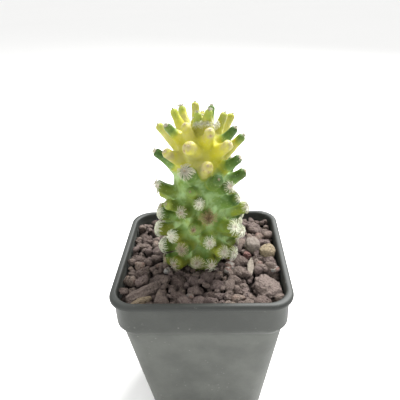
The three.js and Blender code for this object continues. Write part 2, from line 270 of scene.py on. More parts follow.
class Board:
    """Adds nodes to a shader tree or a geometry tree."""

    def __init__(self, tree):
        self.tree = tree

    def node(self, kind, settings=None, inputs=None, output=0):
        made = self.tree.nodes.new(kind)
        for name, value in (settings or {}).items():
            if name == "stops":
                self._set_stops(made.color_ramp, value)
            else:
                setattr(made, name, value)
        for key, value in (inputs or {}).items():
            if isinstance(value, Wire):
                self.tree.links.new(value.socket, made.inputs[key])
            else:
                made.inputs[key].default_value = value
        return Wire(self, made.outputs[output])

    @staticmethod
    def _set_stops(ramp, stops):
        while len(ramp.elements) < len(stops):
            ramp.elements.new(1.0)
        for element, (place, colour) in zip(ramp.elements, stops):
            element.position = place
            element.color = (*colour, 1.0)

    def blend(self, factor, first, second):
        """Colour between two colours."""
        first, second = (c if isinstance(c, Wire) else (*c[:3], 1.0) for c in (first, second))
        settings = {"data_type": "RGBA"}
        return self.node("ShaderNodeMix", settings, {0: factor, 6: first, 7: second}, 2)

    def coats(self, colour, *coats):
        """Colour under coats laid on in turn, each given as how far it covers and its colour."""
        for cover, coat in coats:
            colour = self.blend(cover, colour, coat)
        return colour

    def attribute(self, name):
        return self.node("ShaderNodeAttribute", {"attribute_name": name}, output="Fac")

    def height(self, place):
        return self.node("ShaderNodeSeparateXYZ", None, {0: place}, "Z")

    def object_place(self):
        return self.node("ShaderNodeTexCoord", output="Object")

    def noise(self, size, detail=3.0, roughness=0.5, place=None):
        """Noise from 0 to 1 whose patches are about the given size in metres."""
        inputs = {"Vector": place or self.object_place(), "Scale": 1.0 / size}
        inputs.update({"Detail": detail, "Roughness": roughness})
        return self.node("ShaderNodeTexNoise", None, inputs)

    def cells(self, size, place=None):
        """Distance from the middles of cells of about the given size in metres."""
        inputs = {"Vector": place or self.object_place(), "Scale": 1.0 / size}
        return self.node("ShaderNodeTexVoronoi", None, inputs)

    def bump(self, height, depth):
        return self.node("ShaderNodeBump", None, {"Height": height, "Distance": depth})


def new_material(name):
    """A material with a bare Principled shader, its board and the shader's node."""
    material = bpy.data.materials.new(name)
    material.use_nodes = True
    return material, Board(material.node_tree), material.node_tree.nodes["Principled BSDF"]


SOCKETS = {
    "colour": "Base Color",
    "roughness": "Roughness",
    "normal": "Normal",
    "specular": "Specular IOR Level",
    "scatter": "Subsurface Weight",
    "scatter_radius": "Subsurface Radius",
    "scatter_scale": "Subsurface Scale",
    "sheen": "Sheen Weight",
    "sheen_roughness": "Sheen Roughness",
}


def feed(board, shader, **inputs):
    """Links wires to the shader's sockets and sets the constants on them."""
    for key, value in inputs.items():
        socket = shader.inputs[SOCKETS[key]]
        if isinstance(value, Wire):
            board.tree.links.new(value.socket, socket)
        else:
            socket.default_value = value


def add_thing(name, data):
    """Object in the scene that holds a mesh, a lamp or a camera."""
    thing = bpy.data.objects.new(name, data)
    bpy.context.scene.collection.objects.link(thing)
    return thing


def add_attributes(mesh, attributes):
    for key, values in attributes.items():
        layer = mesh.attributes.new(key, "FLOAT", "POINT")
        layer.data.foreach_set("value", np.asarray(values, np.float32))


def add_object(name, points, faces, attributes=None, material=None):
    """A smooth mesh object from points in metres, with float attributes on its points."""
    mesh = bpy.data.meshes.new(name)
    mesh.from_pydata(np.asarray(points, float).tolist(), [], faces)
    add_attributes(mesh, attributes or {})
    mesh.shade_smooth()
    if material:
        mesh.materials.append(material)
    return add_thing(name, mesh)


def plain_mesh(thing):
    """Replaces the mesh of an object by its evaluated one and drops its modifiers."""
    evaluated = thing.evaluated_get(bpy.context.evaluated_depsgraph_get())
    mesh = bpy.data.meshes.new_from_object(evaluated)
    old = thing.data
    thing.modifiers.clear()
    thing.data = mesh
    bpy.data.meshes.remove(old)
    mesh.name = thing.name


def mesh_points(mesh):
    points = np.empty(len(mesh.vertices) * 3)
    mesh.vertices.foreach_get("co", points)
    return points.reshape(-1, 3)


def finish_piece(piece, slot, *nodes):
    """Attaches a finished piece to the root body and hides the CAD parts it stands for; the slot is not
    used.
    """
    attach(piece, "root")
    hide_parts(*nodes)


def loft(rings):
    """Points and faces of a closed skin through rings of equal length, with capped ends."""
    count = len(rings[0])
    points = np.concatenate([np.asarray(ring, float) for ring in rings])
    faces = []
    for start in range(0, len(points) - count, count):
        for side in range(count):
            a, b = start + side, start + (side + 1) % count
            faces.append((a, b, b + count, a + count))
    faces.append(tuple(reversed(range(count))))
    faces.append(tuple(range(len(points) - count, len(points))))
    return points, faces


def square_ring(half, corner, height):
    """Points round a square with round corners."""
    angles = (np.arange(4)[:, None] + np.linspace(0, 1, CORNER_STEPS + 1)) * math.pi / 2
    quarter = (np.arange(4)[:, None] + 0.5) * math.pi / 2
    out = (half - corner) * math.sqrt(2)
    x = out * np.cos(quarter) + corner * np.cos(angles)
    y = out * np.sin(quarter) + corner * np.sin(angles)
    return np.stack([x.ravel(), y.ravel(), np.full(x.size, height)], axis=1)


def arc(centre, radius, first, last, steps):
    """Half widths and heights along an arc, angles in degrees from outward towards up."""
    turns = np.radians(np.linspace(first, last, steps + 1))
    return [(centre[0] + radius * math.cos(t), centre[1] + radius * math.sin(t)) for t in turns]


def pot_rings():
    """Rings up the outside of the pot, over its rolled lip and down the inside to the floor."""
    outline = arc((BASE_HALF - BASE_CHAMFER, FOOT + BASE_CHAMFER), BASE_CHAMFER, -90, -8, 5)
    for half, depth, steps in SOFT_CORNERS:
        outline += [(half + out, up - depth) for out, up in steps]
    outline += arc((RIM_HALF - LIP_EDGE, LIP_EDGE - LIP_DEPTH), LIP_EDGE, -90, 0, 3)
    outline += arc((RIM_HALF - LIP_TOP, -LIP_TOP), LIP_TOP, 0, 90, 6)
    outline += arc((INNER_COLLAR + LIP_INSIDE, -LIP_INSIDE), LIP_INSIDE, 90, 180, 4)
    outline += [(INNER_COLLAR, 0.2 - COLLAR_DEPTH), (INNER_COLLAR - 0.3, -COLLAR_DEPTH - 0.4)]
    outline += [(INNER_BODY, -STEP_DEPTH - WALL), (INNER_BASE, FOOT + FLOOR)]
    halves = (BASE_HALF, BODY_HALF, COLLAR_HALF, RIM_HALF)
    corners = (BASE_CORNER, BODY_CORNER, COLLAR_CORNER, RIM_CORNER)
    return [square_ring(half, np.interp(half, halves, corners), height) for half, height in outline]


def rectangle(half_x, half_y):
    return [(-half_x, -half_y), (half_x, -half_y), (half_x, half_y), (-half_x, half_y)]


def cutter(name, outline, low, high):
    """Upright tool that cuts an outline out of the pot between two heights."""
    points, faces = loft([flat_ring(outline, low), flat_ring(outline, high)])
    return add_object(name, to_frame(points), faces)


def mark_sharp(mesh, degrees):
    """Keeps edges sharper than an angle crisp on a smooth mesh."""
    work = bmesh.new()
    work.from_mesh(mesh)
    limit = math.radians(degrees)
    for edge in work.edges:
        edge.smooth = len(edge.link_faces) == 2 and edge.calc_face_angle(0) < limit
    work.to_mesh(mesh)
    work.free()


def pot_material(settings):
    """Grey-green moulded plastic with a satin skin, fine dust, scuffs, and a haze of water marks mixed with
    painted glare that lightens the lower walls.
    """
    material, board, shader = new_material("pot_plastic")
    place = board.object_place()
    height = board.height(place)
    cloud = board.noise(0.011, 5, 0.6, place)
    # Haze: a dry film mixed with painted glare, full below the step, thinner on the collar and thinnest on
    # the lip
    glare_and_dry = 1 - height.band(STEP_Z - 0.002, STEP_Z + 0.004) * 0.55
    glare_and_dry = glare_and_dry - height.band(LIP_Z - 0.001, LIP_Z) * 0.3
    haze_and_glare = (0.62 + 0.36 * cloud.band(0.3, 0.72)) * glare_and_dry
    speck = 1 - board.cells(0.0021, place).band(0.10, 0.17)
    speck = speck * board.noise(0.006, 2).band(0.5, 0.62)
    scuff = board.noise(0.0016, 6, 0.75, place).band(0.6, 0.74)
    scuff = scuff * board.noise(0.014, 2).band(0.45, 0.65)
    coats = ((haze_and_glare, settings.haze_and_glare), (speck * 0.22, settings.dust), (scuff * 0.35, settings.dust))
    colour = board.coats(settings.plastic, *coats)
    grain = board.noise(0.0005, 3, 0.6, place)
    ripple = board.noise(0.009, 2, 0.4, place)
    normal = board.bump(grain * 0.35 + ripple * 1.2 + speck * 0.4, 0.00012)
    roughness = 0.5 + haze_and_glare * 0.16 + scuff * 0.14
    feed(board, shader, colour=colour, roughness=roughness, normal=normal, specular=0.28)
    return material


def colour_property(name, description, default):
    return bpy.props.FloatVectorProperty(
        name=name, description=description, subtype="COLOR", default=default)


class PotSettings(bpy.types.PropertyGroup):
    """Finish of the pot."""

    plastic: colour_property("Plastic", "Colour of the moulded plastic", (0.022, 0.024, 0.022))
    # Haze colour: the dry film together with the painted glare that lightens the lower walls
    haze_and_glare: colour_property("Haze", "Colour of the dry film on the walls", (0.11, 0.115, 0.104))
    dust: colour_property("Dust", "Colour of dust spots and scuffs", (0.3, 0.29, 0.27))


class POTTEDCACTUS_OT_pot(bpy.types.Operator):
    """Moulds the square pot with its rolled lip, collar, step, channel and drain holes"""

    bl_idname = "potted_cactus.pot"
    bl_label = "Pot"

    def execute(self, context):
        points, faces = loft(pot_rings())
        material = pot_material(context.scene.potted_cactus_pot)
        pot = add_object("nursery_pot", to_frame(points), faces, material=material)
        reach = RIM_HALF + 2
        cutters = []
        for halves in ((reach, CHANNEL_WIDTH / 2), (CHANNEL_WIDTH / 2, reach)):
            low, high = FOOT - CHANNEL_DEPTH, FOOT + CHANNEL_DEPTH
            cutters.append(cutter("channel", rectangle(*halves), low, high))
        offsets = ((0, 0), (DRAIN_OFFSET, 0), (0, DRAIN_OFFSET), (-DRAIN_OFFSET, 0), (0, -DRAIN_OFFSET))
        for offset in offsets:
            circle = offset + DRAIN_RADIUS * unit_circle(DRAIN_SIDES)
            cutters.append(cutter("drain", circle, FOOT - FLOOR, FOOT + 2 * FLOOR))
        for tool in cutters:
            cut = pot.modifiers.new(tool.name, "BOOLEAN")
            cut.object = tool
            cut.solver = "EXACT"
        plain_mesh(pot)
        for tool in cutters:
            bpy.data.objects.remove(tool)
        mark_sharp(pot.data, SHARP_DEG)
        finish_piece(pot, "pot_plastic", "pot")
        return {"FINISHED"}


# Fingers with a tint of their own: how green, from what share of their length, how pink at the tip
FINGER_TINTS = {
    0: (0.62, 0.45, 0.2), 1: (0.5, 0.6, 0.2), 2: (0.3, 0.3, 0.7), 3: (0.0, 1.0, 0.8),
    4: (0.4, 0.6, 0.5), 5: (0.35, 0.55, 0.1), 6: (0.0, 1.0, 1.0), 7: (0.95, 0.65, 0.0),
    8: (0.95, 0.66, 0.0), 9: (1.0, 0.5, 0.0), 10: (0.6, 0.8, 0.7), 11: (0.0, 1.0, 1.0),
    12: (0.35, 0.75, 0.5), 13: (0.35, 0.7, 0.5), 14: (0.1, 0.9, 0.9), 16: (0.2, 0.85, 1.0),
    17: (0.9, 0.8, 0.3), 19: (0.0, 1.0, 1.0), 21: (1.0, 0.3, 0.0), 22: (1.0, 0.45, 0.0),
    24: (1.0, 0.15, 0.0), 27: (0.95, 0.4, 0.0), 30: (1.0, 0.25, 0.0), 37: (0.72, 0.0, 0.0),
    43: (0.95, 0.1, 0.0), 48: (0.85, 0.2, 0.1), 51: (0.6, 0.0, 0.0), 53: (0.8, 0.0, 0.25),
    56: (0.7, 0.0, 0.0), 61: (0.78, 0.1, 0.0), 64: (0.72, 0.2, 0.0), 69: (0.7, 0.0, 0.0),
    74: (0.85, 0.1, 0.2),
}

# Fingers with a tone of their own, from dark at 0 to light at 1
FINGER_TONES = {
    0: 1.0, 1: 1.0, 9: 0.1, 17: 0.6, 21: 0.0, 22: 0.1, 24: 0.2, 27: 0.15, 29: 0.0,
    30: 0.0, 34: 0.1, 35: 0.2, 37: 0.4, 40: 0.3, 43: 0.15, 45: 0.35, 56: 0.8,
}

# Fingers above this height may be yellow, the stem turns yellow over a band with an uneven edge,
# and the skin is olive low down, with painted shade on the finger ends there, up to heights in the frame
YELLOW_ABOVE = 34.0
CROWN_MIDDLE = (0.5, -0.5)
STEM_GREEN_BAND = (28.0, 35.5)
PATCH_SIZE, PATCH_SEED, PATCH_REACH = 9.0, 11, 2.2
LOW_BAND = ((RIM_Z + 10) * MM, (RIM_Z + 38) * MM)


def tip_surface_at(area):
    """Row of the tip surface that lies a given area out from its top, or None past its end."""
    before = 0.0
    for low, high in zip(TIP_SURFACE, TIP_SURFACE[1:]):
        band = math.pi * (low[0] + high[0]) * math.hypot(high[0] - low[0], high[1] - low[1])
        if area <= before + band:
            share = (area - before) / band
            return [a + (b - a) * share for a, b in zip(low, high)]
        before += band
    return None


class Plant:
    """Fingers and stem of the plant, upright, and how far a point lies from their joined skin."""

    def __init__(self):
        roots, tips, radii = [], [], []
        while place := tip_surface_at(SHARE * (len(tips) + FIRST_SHARE)):
            radius, height, lift, tip_radius = place
            turned, raised, drawn = NUDGES.get(len(tips), (0, 0, 0))
            angle = math.radians(FIRST_TURN_DEG + len(tips) * TURN_DEG + turned)
            tilt = CROWN_TILT * smoothstep(height, *CROWN_TILT_BAND)
            shoulder = smoothstep(height, *CROWN_RISE_BAND)
            raised += CROWN_RISE * shoulder * (1 - smoothstep(height, *CROWN_FALL_BAND))
            run = radius * (1 - ROOT_SHARE)
            out = np.array((math.cos(angle), math.sin(angle), 0))
            up = np.array((0, 0, height + raised))
            reach = radius + drawn
            tips.append(out * reach + up + (0, 0, tilt * reach * out[1]))
            roots.append(out * (radius - run) + up - (0, 0, run * math.tan(math.radians(lift))))
            radii.append(tip_radius * GIRTHS.get(len(radii), 1))
        self.root, self.tip, self.radius = np.array(roots), np.array(tips), np.array(radii)
        self.length = np.linalg.norm(self.tip - self.root, axis=1)
        self.way = unit(self.tip - self.root)
        self.count = len(tips)

    def finger_radius(self, number, share):
        tip = self.radius[number]
        waist = WAIST * tip
        bulb = BULB * tip * np.exp(-(((share - BULB_AT) / BULB_SPREAD) ** 2))
        return waist + (BASE_RADIUS - waist) * (1 - share) ** 1.5 + bulb

    def finger_point(self, number, share):
        share = np.asarray(share)[..., None]
        line = self.root[number] + (self.tip[number] - self.root[number]) * share
        return line - (0, 0, 1) * (FINGER_SAG * 4 * share * (1 - share))

    def facing(self, number):
        """The way a finger's tip looks, with the upward turn of its end."""
        ahead = self.tip[number] - self.finger_point(number, 0.85)
        return unit(ahead)

    def near(self, points):
        """Numbers of the fingers nearest to each point."""
        marks = np.stack([self.finger_point(np.arange(self.count), s) for s in NEAR_SHARES])
        chosen = []
        for part in np.array_split(points, max(1, len(points) // POINTS_AT_ONCE)):
            away = np.linalg.norm(part[:, None, None] - marks[None], axis=-1).min(axis=1)
            chosen.append(np.argpartition(away, NEAR_FINGERS, axis=1)[:, :NEAR_FINGERS])
        return np.concatenate(chosen)

    def fingers_from(self, points, near):
        """Distance to each near finger and the share of its length where that is measured."""
        offset = points[:, None] - self.root[near]
        way, length = self.way[near], self.length[near]
        reach = length - self.radius[near] / FLATTEN
        along = np.clip((offset * way).sum(-1), 0, reach)
        share = along / length
        offset -= way * along[..., None]
        offset[..., 2] += FINGER_SAG * 4 * share * (1 - share)
        ahead = (offset * way).sum(-1)
        past = np.clip(ahead, 0, None) * (along >= reach - 1e-6)
        offset += way * (past * (FLATTEN - 1))[..., None]
        return np.linalg.norm(offset, axis=-1) - self.finger_radius(near, share), share

    def stem_from(self, points):
        radii, heights = np.array(STEM_OUTLINE).T
        top = heights[-1]
        height = np.minimum(points[:, 2], top)
        above = np.maximum(points[:, 2] - top, 0)
        around = np.linalg.norm(points[:, :2], axis=1)
        side = np.hypot(around, above) - np.interp(height, heights, radii)
        return np.maximum(side, STEM_FOOT - points[:, 2])

    def skin(self, points, near):
        """Distance from the joined skin, the weight of stem and fingers, and the finger shares."""
        fingers, share = self.fingers_from(points, near)
        each = np.concatenate([self.stem_from(points)[:, None], fingers], axis=1)
        least = each.min(axis=1, keepdims=True)
        weight = np.exp((least - each) / FILLET)
        total = weight.sum(axis=1)
        ripple = RIPPLE_HEIGHT * wave_noise(points, RIPPLE_SEED, RIPPLE_SIZE)
        return least[:, 0] - FILLET * np.log(total) + ripple, weight / total[:, None], share

    def settle(self, points, near, rounds):
        """Moves points along the gradient onto the joined skin."""
        step = 0.01
        for _ in range(rounds):
            here = self.skin(points, near)[0]
            rises = [self.skin(points + step * axis, near)[0] - here for axis in np.eye(3)]
            slope = np.stack(rises, 1) / step
            points = points - slope * (here / (slope**2).sum(1))[:, None]
        return points, unit(slope)


def lean(points):
    """Leans the upright plant as it stands in the pot."""
    x, y, height = points.T
    return np.stack([x + LEAN[0] * height, y + LEAN[1] * height, height], 1)


def unlean(points):
    return lean(points * (1, 1, -1)) * (1, 1, -1)


def ring_about(centre, way, radius):
    """Points of a circle round a finger's axis."""
    side = unit(np.cross((0, 0, 1), way))
    over = np.cross(way, side)
    aside, above = unit_circle(FINGER_SIDES).T[..., None]
    return centre + radius * (aside * side + above * over)


def rough_plant(plant):
    """Stem and fingers as simple closed skins that pass through each other."""
    stem = [(0.6, STEM_FOOT), *STEM_OUTLINE, *STEM_ROUND]
    circle = unit_circle(STEM_SIDES)
    skins = [loft([flat_ring(circle * radius, height) for radius, height in stem])]
    for number in range(plant.count):
        rings = []
        for share in FINGER_RINGS:
            radius = plant.finger_radius(number, share) * (0.6 if share == 1 else 1)
            rings.append(ring_about(plant.finger_point(number, share), plant.way[number], radius))
        skins.append(loft(rings))
    points, faces = [], []
    for skin_points, skin_faces in skins:
        start = sum(map(len, points))
        points.append(skin_points)
        faces += [tuple(start + corner for corner in face) for face in skin_faces]
    return np.concatenate(points), faces


def even_out(mesh, points, normals):
    """Moves points towards the middle of their neighbours, along the skin."""
    edges = np.empty(len(mesh.edges) * 2, int)
    mesh.edges.foreach_get("vertices", edges)
    ends = np.concatenate([edges.reshape(-1, 2), edges.reshape(-1, 2)[:, ::-1]])
    sums = np.zeros_like(points)
    for axis in range(3):
        sums[:, axis] = np.bincount(ends[:, 0], points[ends[:, 1], axis], len(points))
    count = np.bincount(ends[:, 0], minlength=len(points))
    shift = EVENING * (sums / count[:, None] - points)
    return points + shift - normals * (shift * normals).sum(1, keepdims=True)


def finger_tint(number, tip_height):
    """How green a finger is, from what share of its length, and how pink at the tip."""
    if number in FINGER_TINTS:
        return FINGER_TINTS[number]
    if tip_height < YELLOW_ABOVE:
        return 1.0, -0.5, 0.0
    return 0.95 * (draw(number, 3) > 0.55), 0.4 + 0.4 * draw(number, 4), 0.8 * draw(number, 5)


def skin_attributes(plant, points, near, normals):
    """Weights of the tints on each point of the plant's skin."""
    _, weight, share = plant.skin(points, near)
    tints = np.array([finger_tint(n, plant.tip[n, 2]) for n in range(plant.count)])
    tones = np.array([FINGER_TONES.get(n, draw(n, 9)) for n in range(plant.count)])
    amount, start, blush = (tints[near][..., column] for column in range(3))
    wander = PATCH_REACH * wave_noise(points, PATCH_SEED, PATCH_SIZE)
    stem_green = 1 - smoothstep(points[:, 2] + wander, *STEM_GREEN_BAND)
    greens = amount * smoothstep(share, start - 0.34, start + 0.24)
    base = stem_green[:, None] * (1 - smoothstep(share, 0.2, 0.8)) * (amount > 0.3)
    greens = np.maximum(greens, base)
    stem, fingers = weight[:, :1], weight[:, 1:]
    among = fingers / (fingers.sum(axis=1, keepdims=True) + 1e-9)
    around = np.linalg.norm(points[:, :2] - CROWN_MIDDLE, axis=1)
    return {
        "green": stem[:, 0] * stem_green + (fingers * greens).sum(1),
        "blush": (fingers * blush * smoothstep(share, 0.25, 0.95)).sum(1),
        "along": (fingers * share).sum(1),
        "tone": (among * tones[near]).sum(1),
        # Painted shade: mask of the hollow in the middle of the crown
        "recess": (1 - smoothstep(around, 2.5, 8.0)) * smoothstep(points[:, 2], 37, 42),
        "up": 0.5 + 0.5 * normals[:, 2],
    }


def plant_material(settings):
    """Waxy skin: chartreuse crown, green base with a pale bloom, pink at some tips, and painted shade in
    the crown's middle hollow, between the crown's fingers and on the finger ends near the gravel.
    """
    material, board, shader = new_material("cactus_skin")
    place = board.object_place()
    along, tone = board.attribute("along"), board.attribute("tone")
    recess, up = board.attribute("recess"), board.attribute("up")
    mottle = board.noise(0.0032, 4, 0.6, place)
    cloud = board.noise(0.009, 3, 0.5, place)
    streak = board.noise(0.0014, 4, 0.65, place)
    # Painted shade at the feet of the crown's fingers, between them; the darker finger ends below are their
    # own colour
    crease_shade = (1 - along.band(0.0, 0.45)) * streak.band(0.2, 0.6)
    end = along.band(0.6, 1.0) * (0.35 + streak.band(0.4, 0.6) * 0.4)
    # Painted shade in the crown's middle hollow, at the feet of the fingers there
    shaded_hollow = recess * (1 - along.band(0.3, 0.95)) * (streak + 0.25).band(0.4, 0.8)
    yellow = board.coats(
        settings.crown,
        (cloud.band(0.35, 0.65), settings.crown_pale),
        (crease_shade * 0.5 + end, settings.crown_deep),
        (shaded_hollow * 0.85, settings.recess),
    )
    # Painted shade low down: below this band the finger ends darken towards the dark green near the gravel;
    # the same band lays the olive patches
    low = 1 - board.height(place).band(*LOW_BAND)
    dark = along.band(0.35, 0.9) * (0.9 - tone * 0.85) + up.band(0.5, 0.85) * (0.45 - tone * 0.35)
    patch = board.noise(0.011, 2, 0.5, place).band(0.5, 0.66)
    bloom = (1 - along.band(0.2, 0.8)) * board.noise(0.0042, 3, 0.6, place).band(0.38, 0.62)
    leaf = board.coats(
        settings.green,
        (tone * 0.6 + mottle * 0.5 - 0.05, settings.green_light),
        (dark + low * along.band(0.55, 0.9) * 0.5, settings.green_dark),
        (patch * (0.25 + tone * 0.55) * (1 - up.band(0.6, 0.9) * 0.6), settings.lime),
        (low * cloud.band(0.4, 0.6) * 0.75, settings.olive),
        (bloom * 0.75, settings.bloom),
    )
    green = board.attribute("green") + (mottle - 0.5) * 0.7 + (streak - 0.5) * 0.25
    pink = board.attribute("blush")
    stain = board.noise(0.0022, 4, 0.65, place)
    dots = 1 - board.cells(0.0015, place).band(0.14, 0.34)
    dots = dots * pink.band(0.4, 0.75) * stain.band(0.4, 0.52)
    fleck = (1 - board.cells(0.0009, place).band(0.12, 0.24)) * 0.3
    colour = board.coats(
        yellow,
        (green.band(0.15, 0.5), settings.lime),
        (green.band(0.42, 0.82), leaf),
        (pink * (stain + pink * 0.12).band(0.42, 0.74) * 0.9, settings.blush),
        (dots * 0.75, settings.dot),
        (fleck, settings.fleck),
    )
    pores = board.noise(0.00035, 3, 0.6, place)
    dents = board.noise(0.0021, 3, 0.5, place)
    normal = board.bump(pores * 0.3 + dents * 1.3 + streak * 0.6 - fleck * 0.5, 0.00018)
    roughness = 0.38 + mottle * 0.14 + bloom * 0.14
    feed(board, shader, colour=colour, roughness=roughness, normal=normal, specular=0.25)
    feed(board, shader, scatter=0.4, scatter_radius=(1.0, 0.8, 0.25), scatter_scale=0.0018)
    return material


class PlantSettings(bpy.types.PropertyGroup):
    """Colours of the plant's skin."""

    crown: colour_property("Crown", "Chartreuse of the crown", (0.47, 0.445, 0.033))
    crown_pale: colour_property("Pale crown", "Paler patches of the crown", (0.48, 0.46, 0.15))
    # Deep crown colour: painted shade between the crown's fingers, and the darker olive of their ends
    crown_deep: colour_property("Deep crown", "Olive yellow between the fingers", (0.36, 0.35, 0.02))
    # Recess colour: painted shade in the hollow in the middle of the crown
    recess: colour_property("Recess", "Olive hollow in the middle of the crown", (0.3, 0.29, 0.03))
    lime: colour_property("Lime", "Between the yellow and the green", (0.28, 0.33, 0.04))
    green: colour_property("Green", "Green of the lower plant", (0.108, 0.2, 0.036))
    green_light: colour_property("Light green", "Green of the lighter fingers", (0.2, 0.3, 0.065))
    green_dark: colour_property("Dark green", "Green of the finger tips", (0.038, 0.088, 0.012))
    olive: colour_property("Olive", "Yellow-olive patches near the gravel", (0.19, 0.2, 0.022))
    bloom: colour_property("Bloom", "Pale wax at the finger bases", (0.37, 0.52, 0.24))
    blush: colour_property("Blush", "Pinkish cream of some tips", (0.345, 0.298, 0.16))
    dot: colour_property("Dot", "Brown dots on the pinkish tips", (0.22, 0.13, 0.06))
    fleck: colour_property("Fleck", "Pale pores of the skin", (0.5, 0.55, 0.25))


class POTTEDCACTUS_OT_plant(bpy.types.Operator):
    """Grows the stem and its fingers as one skin with soft fillets"""

    bl_idname = "potted_cactus.plant"
    bl_label = "Plant"

    def execute(self, context):
        plant = Plant()
        points, faces = rough_plant(plant)
        body = add_object("cactus_body", to_frame(lean(points)), faces)
        remesh = body.modifiers.new("skin", "REMESH")
        remesh.mode = "VOXEL"
        remesh.voxel_size = VOXEL * MM
        plain_mesh(body)
        points = unlean(mesh_points(body.data) / MM - (0, 0, RIM_Z))
        near = plant.near(points)
        points, normals = plant.settle(points, near, SKIN_ROUNDS)
        for _ in range(EVEN_ROUNDS):
            points = even_out(body.data, points, normals)
            points, normals = plant.settle(points, near, SKIN_ROUNDS)
        add_attributes(body.data, skin_attributes(plant, points, near, normals))
        body.data.vertices.foreach_set("co", to_frame(lean(points)).ravel())
        body.data.shade_smooth()
        body.data.materials.clear()
        body.data.materials.append(plant_material(context.scene.potted_cactus_plant))
        finish_piece(body, "cactus_skin", "cactus")
        return {"FINISHED"}


# Areoles and spines
YOUNG_FINGERS = 22
SPINE_RADIUS, HAIR_LENGTH, HAIR_RADIUS = 0.075, 0.5, 0.034
DOME_FOOT = 0.12
MEAN_TIP = 2.2

# Pads: shapes, seed of the first, share of the tip radius, largest size and depth in the tip
PAD_KINDS, PAD_SEED, PAD_SHARE, PAD_LARGEST, PAD_SINK = 4, 40, 0.42, 1.3, 0.02
PAD_SIDES = 20

# Rosettes: spines over the dome, short spines in its middle, hairs on a spine, bend in degrees, depth
ROSETTES = {
    "comb": (22, 5, 9, (52, 96), 0.46),
    "star": (32, 12, 10, (52, 98), 0.42),
    "cap": (44, 20, 12, (62, 110), 0.62),
    "bud": (18, 8, 3, (36, 74), 0.5),
}
ROSETTES_ALIKE = 3

# Size of a rosette: share of the tip radius and what is added, rise over the tip, and the first seed
ROSETTE_SHARE, ROSETTE_EXTRA, ROSETTE_RISE, ROSETTE_SEED = 0.82, 0.38, 0.02, 60

# Areoles that stand out, by rosette: number of the finger, from white at 0 to brown at 1, size
AREOLES = {
    "bud": {
        0: (0.1, 0.8), 2: (0.1, 0.7), 3: (1.0, 0.5), 4: (0.1, 0.7), 5: (0.1, 0.7), 6: (1.0, 0.5),
        7: (0.1, 1.2), 8: (0.1, 1.15), 9: (0.1, 1.15), 10: (0.1, 1.35), 11: (1.0, 0.35),
        12: (0.1, 0.8), 13: (0.1, 0.7), 14: (1.0, 0.5), 16: (1.0, 0.7), 19: (1.0, 0.5),
        21: (0.1, 1.15), 22: (0.4, 0.85), 27: (0.95, 0.35), 30: (0.4, 0.8), 32: (0.95, 0.35),
        37: (0.7, 0.4), 53: (0.95, 0.7),
    },
    "cap": {
        24: (0.5, 1.15), 50: (0.05, 0.85), 58: (0.0, 0.95), 63: (0.0, 1.0), 71: (0.0, 0.95),
    },
    "comb": {
        29: (0.15, 1.05), 35: (0.5, 1.2), 42: (0.4, 0.85), 45: (0.5, 1.0), 79: (0.65, 1.0),
        82: (0.3, 1.05), 84: (0.7, 0.95),
    },
    "star": {
        40: (0.1, 1.0), 43: (0.15, 0.8), 48: (1.0, 1.25), 55: (0.3, 0.8), 56: (0.0, 1.0),
        61: (0.3, 0.95), 64: (0.1, 0.95), 66: (0.8, 0.95), 69: (0.35, 0.95), 72: (0.0, 0.9),
        74: (0.65, 0.9), 76: (0.1, 0.9), 77: (0.1, 0.9),
    },
}

# Woolly tufts between the youngest fingers: place and size
WOOL = (
    ((1.0, -4.2, 46.0), 1.3),
    ((2.6, -4.4, 46.1), 1.2),
    ((4.2, -4.4, 45.7), 1.4),
    ((-0.8, -3.6, 45.7), 1.2),
    ((5.2, -3.4, 45.8), 1.3),
    ((2.9, -0.6, 46.4), 1.5),
    ((-1.0, 0.8, 46.2), 1.5),
    ((1.4, 1.6, 46.6), 1.6),
    ((-2.8, -3.0, 45.2), 1.0),
)
WOOL_CENTRE = (0.5, 0, 42)

# Point attributes that pick, turn and size the scattered shapes, with their types and fields
PLACING = {
    "facing": ("FLOAT_VECTOR", "vector"),
    "spin": ("FLOAT", "value"),
    "stretch": ("FLOAT_VECTOR", "vector"),
    "kind": ("INT", "value"),
}


def named_input(board, name, kind):
    settings = {"data_type": kind}
    return board.node("GeometryNodeInputNamedAttribute", settings, {"Name": name})


def scatter_tree():
    """Puts one of a collection's shapes on each point, turned and sized by the point's attributes."""
    tree = bpy.data.node_groups.new("scatter", "GeometryNodeTree")
    sockets = {"Points": "Geometry", "Kinds": "Collection", "Size": "Float", "Finish": "Material"}
    for name, kind in sockets.items():
        tree.interface.new_socket(name, in_out="INPUT", socket_type="NodeSocket" + kind)
    tree.interface.new_socket("Result", in_out="OUTPUT", socket_type="NodeSocketGeometry")
    board = Board(tree)
    given = tree.nodes.new("NodeGroupInput")
    points, kinds, size, finish = (Wire(board, given.outputs[name]) for name in sockets)
    facing = named_input(board, "facing", "FLOAT_VECTOR")
    turned = board.node("FunctionNodeAlignRotationToVector", {"axis": "Z"}, {"Vector": facing})
    spin = board.node("ShaderNodeCombineXYZ", None, {"Z": named_input(board, "spin", "FLOAT")})
    spin = board.node("FunctionNodeEulerToRotation", None, {0: spin})
    turned = board.node(
        "FunctionNodeRotateRotation", {"rotation_space": "LOCAL"}, {"Rotation": turned, "Rotate By": spin})
    stretch = named_input(board, "stretch", "FLOAT_VECTOR")
    scale = board.node("ShaderNodeVectorMath", {"operation": "SCALE"}, {0: stretch, "Scale": size})
    split = {"Collection": kinds, "Separate Children": True, "Reset Children": True}
    shapes = board.node("GeometryNodeCollectionInfo", None, split)
    placing = {"Points": points, "Instance": shapes, "Pick Instance": True, "Scale": scale}
    placing.update({"Instance Index": named_input(board, "kind", "INT"), "Rotation": turned})
    placed = board.node("GeometryNodeInstanceOnPoints", None, placing)
    real = board.node("GeometryNodeRealizeInstances", None, {"Geometry": placed})
    done = board.node("GeometryNodeSetMaterial", None, {"Geometry": real, "Material": finish})
    result = tree.nodes.new("NodeGroupOutput")
    tree.links.new(done.socket, result.inputs[0])
    return tree


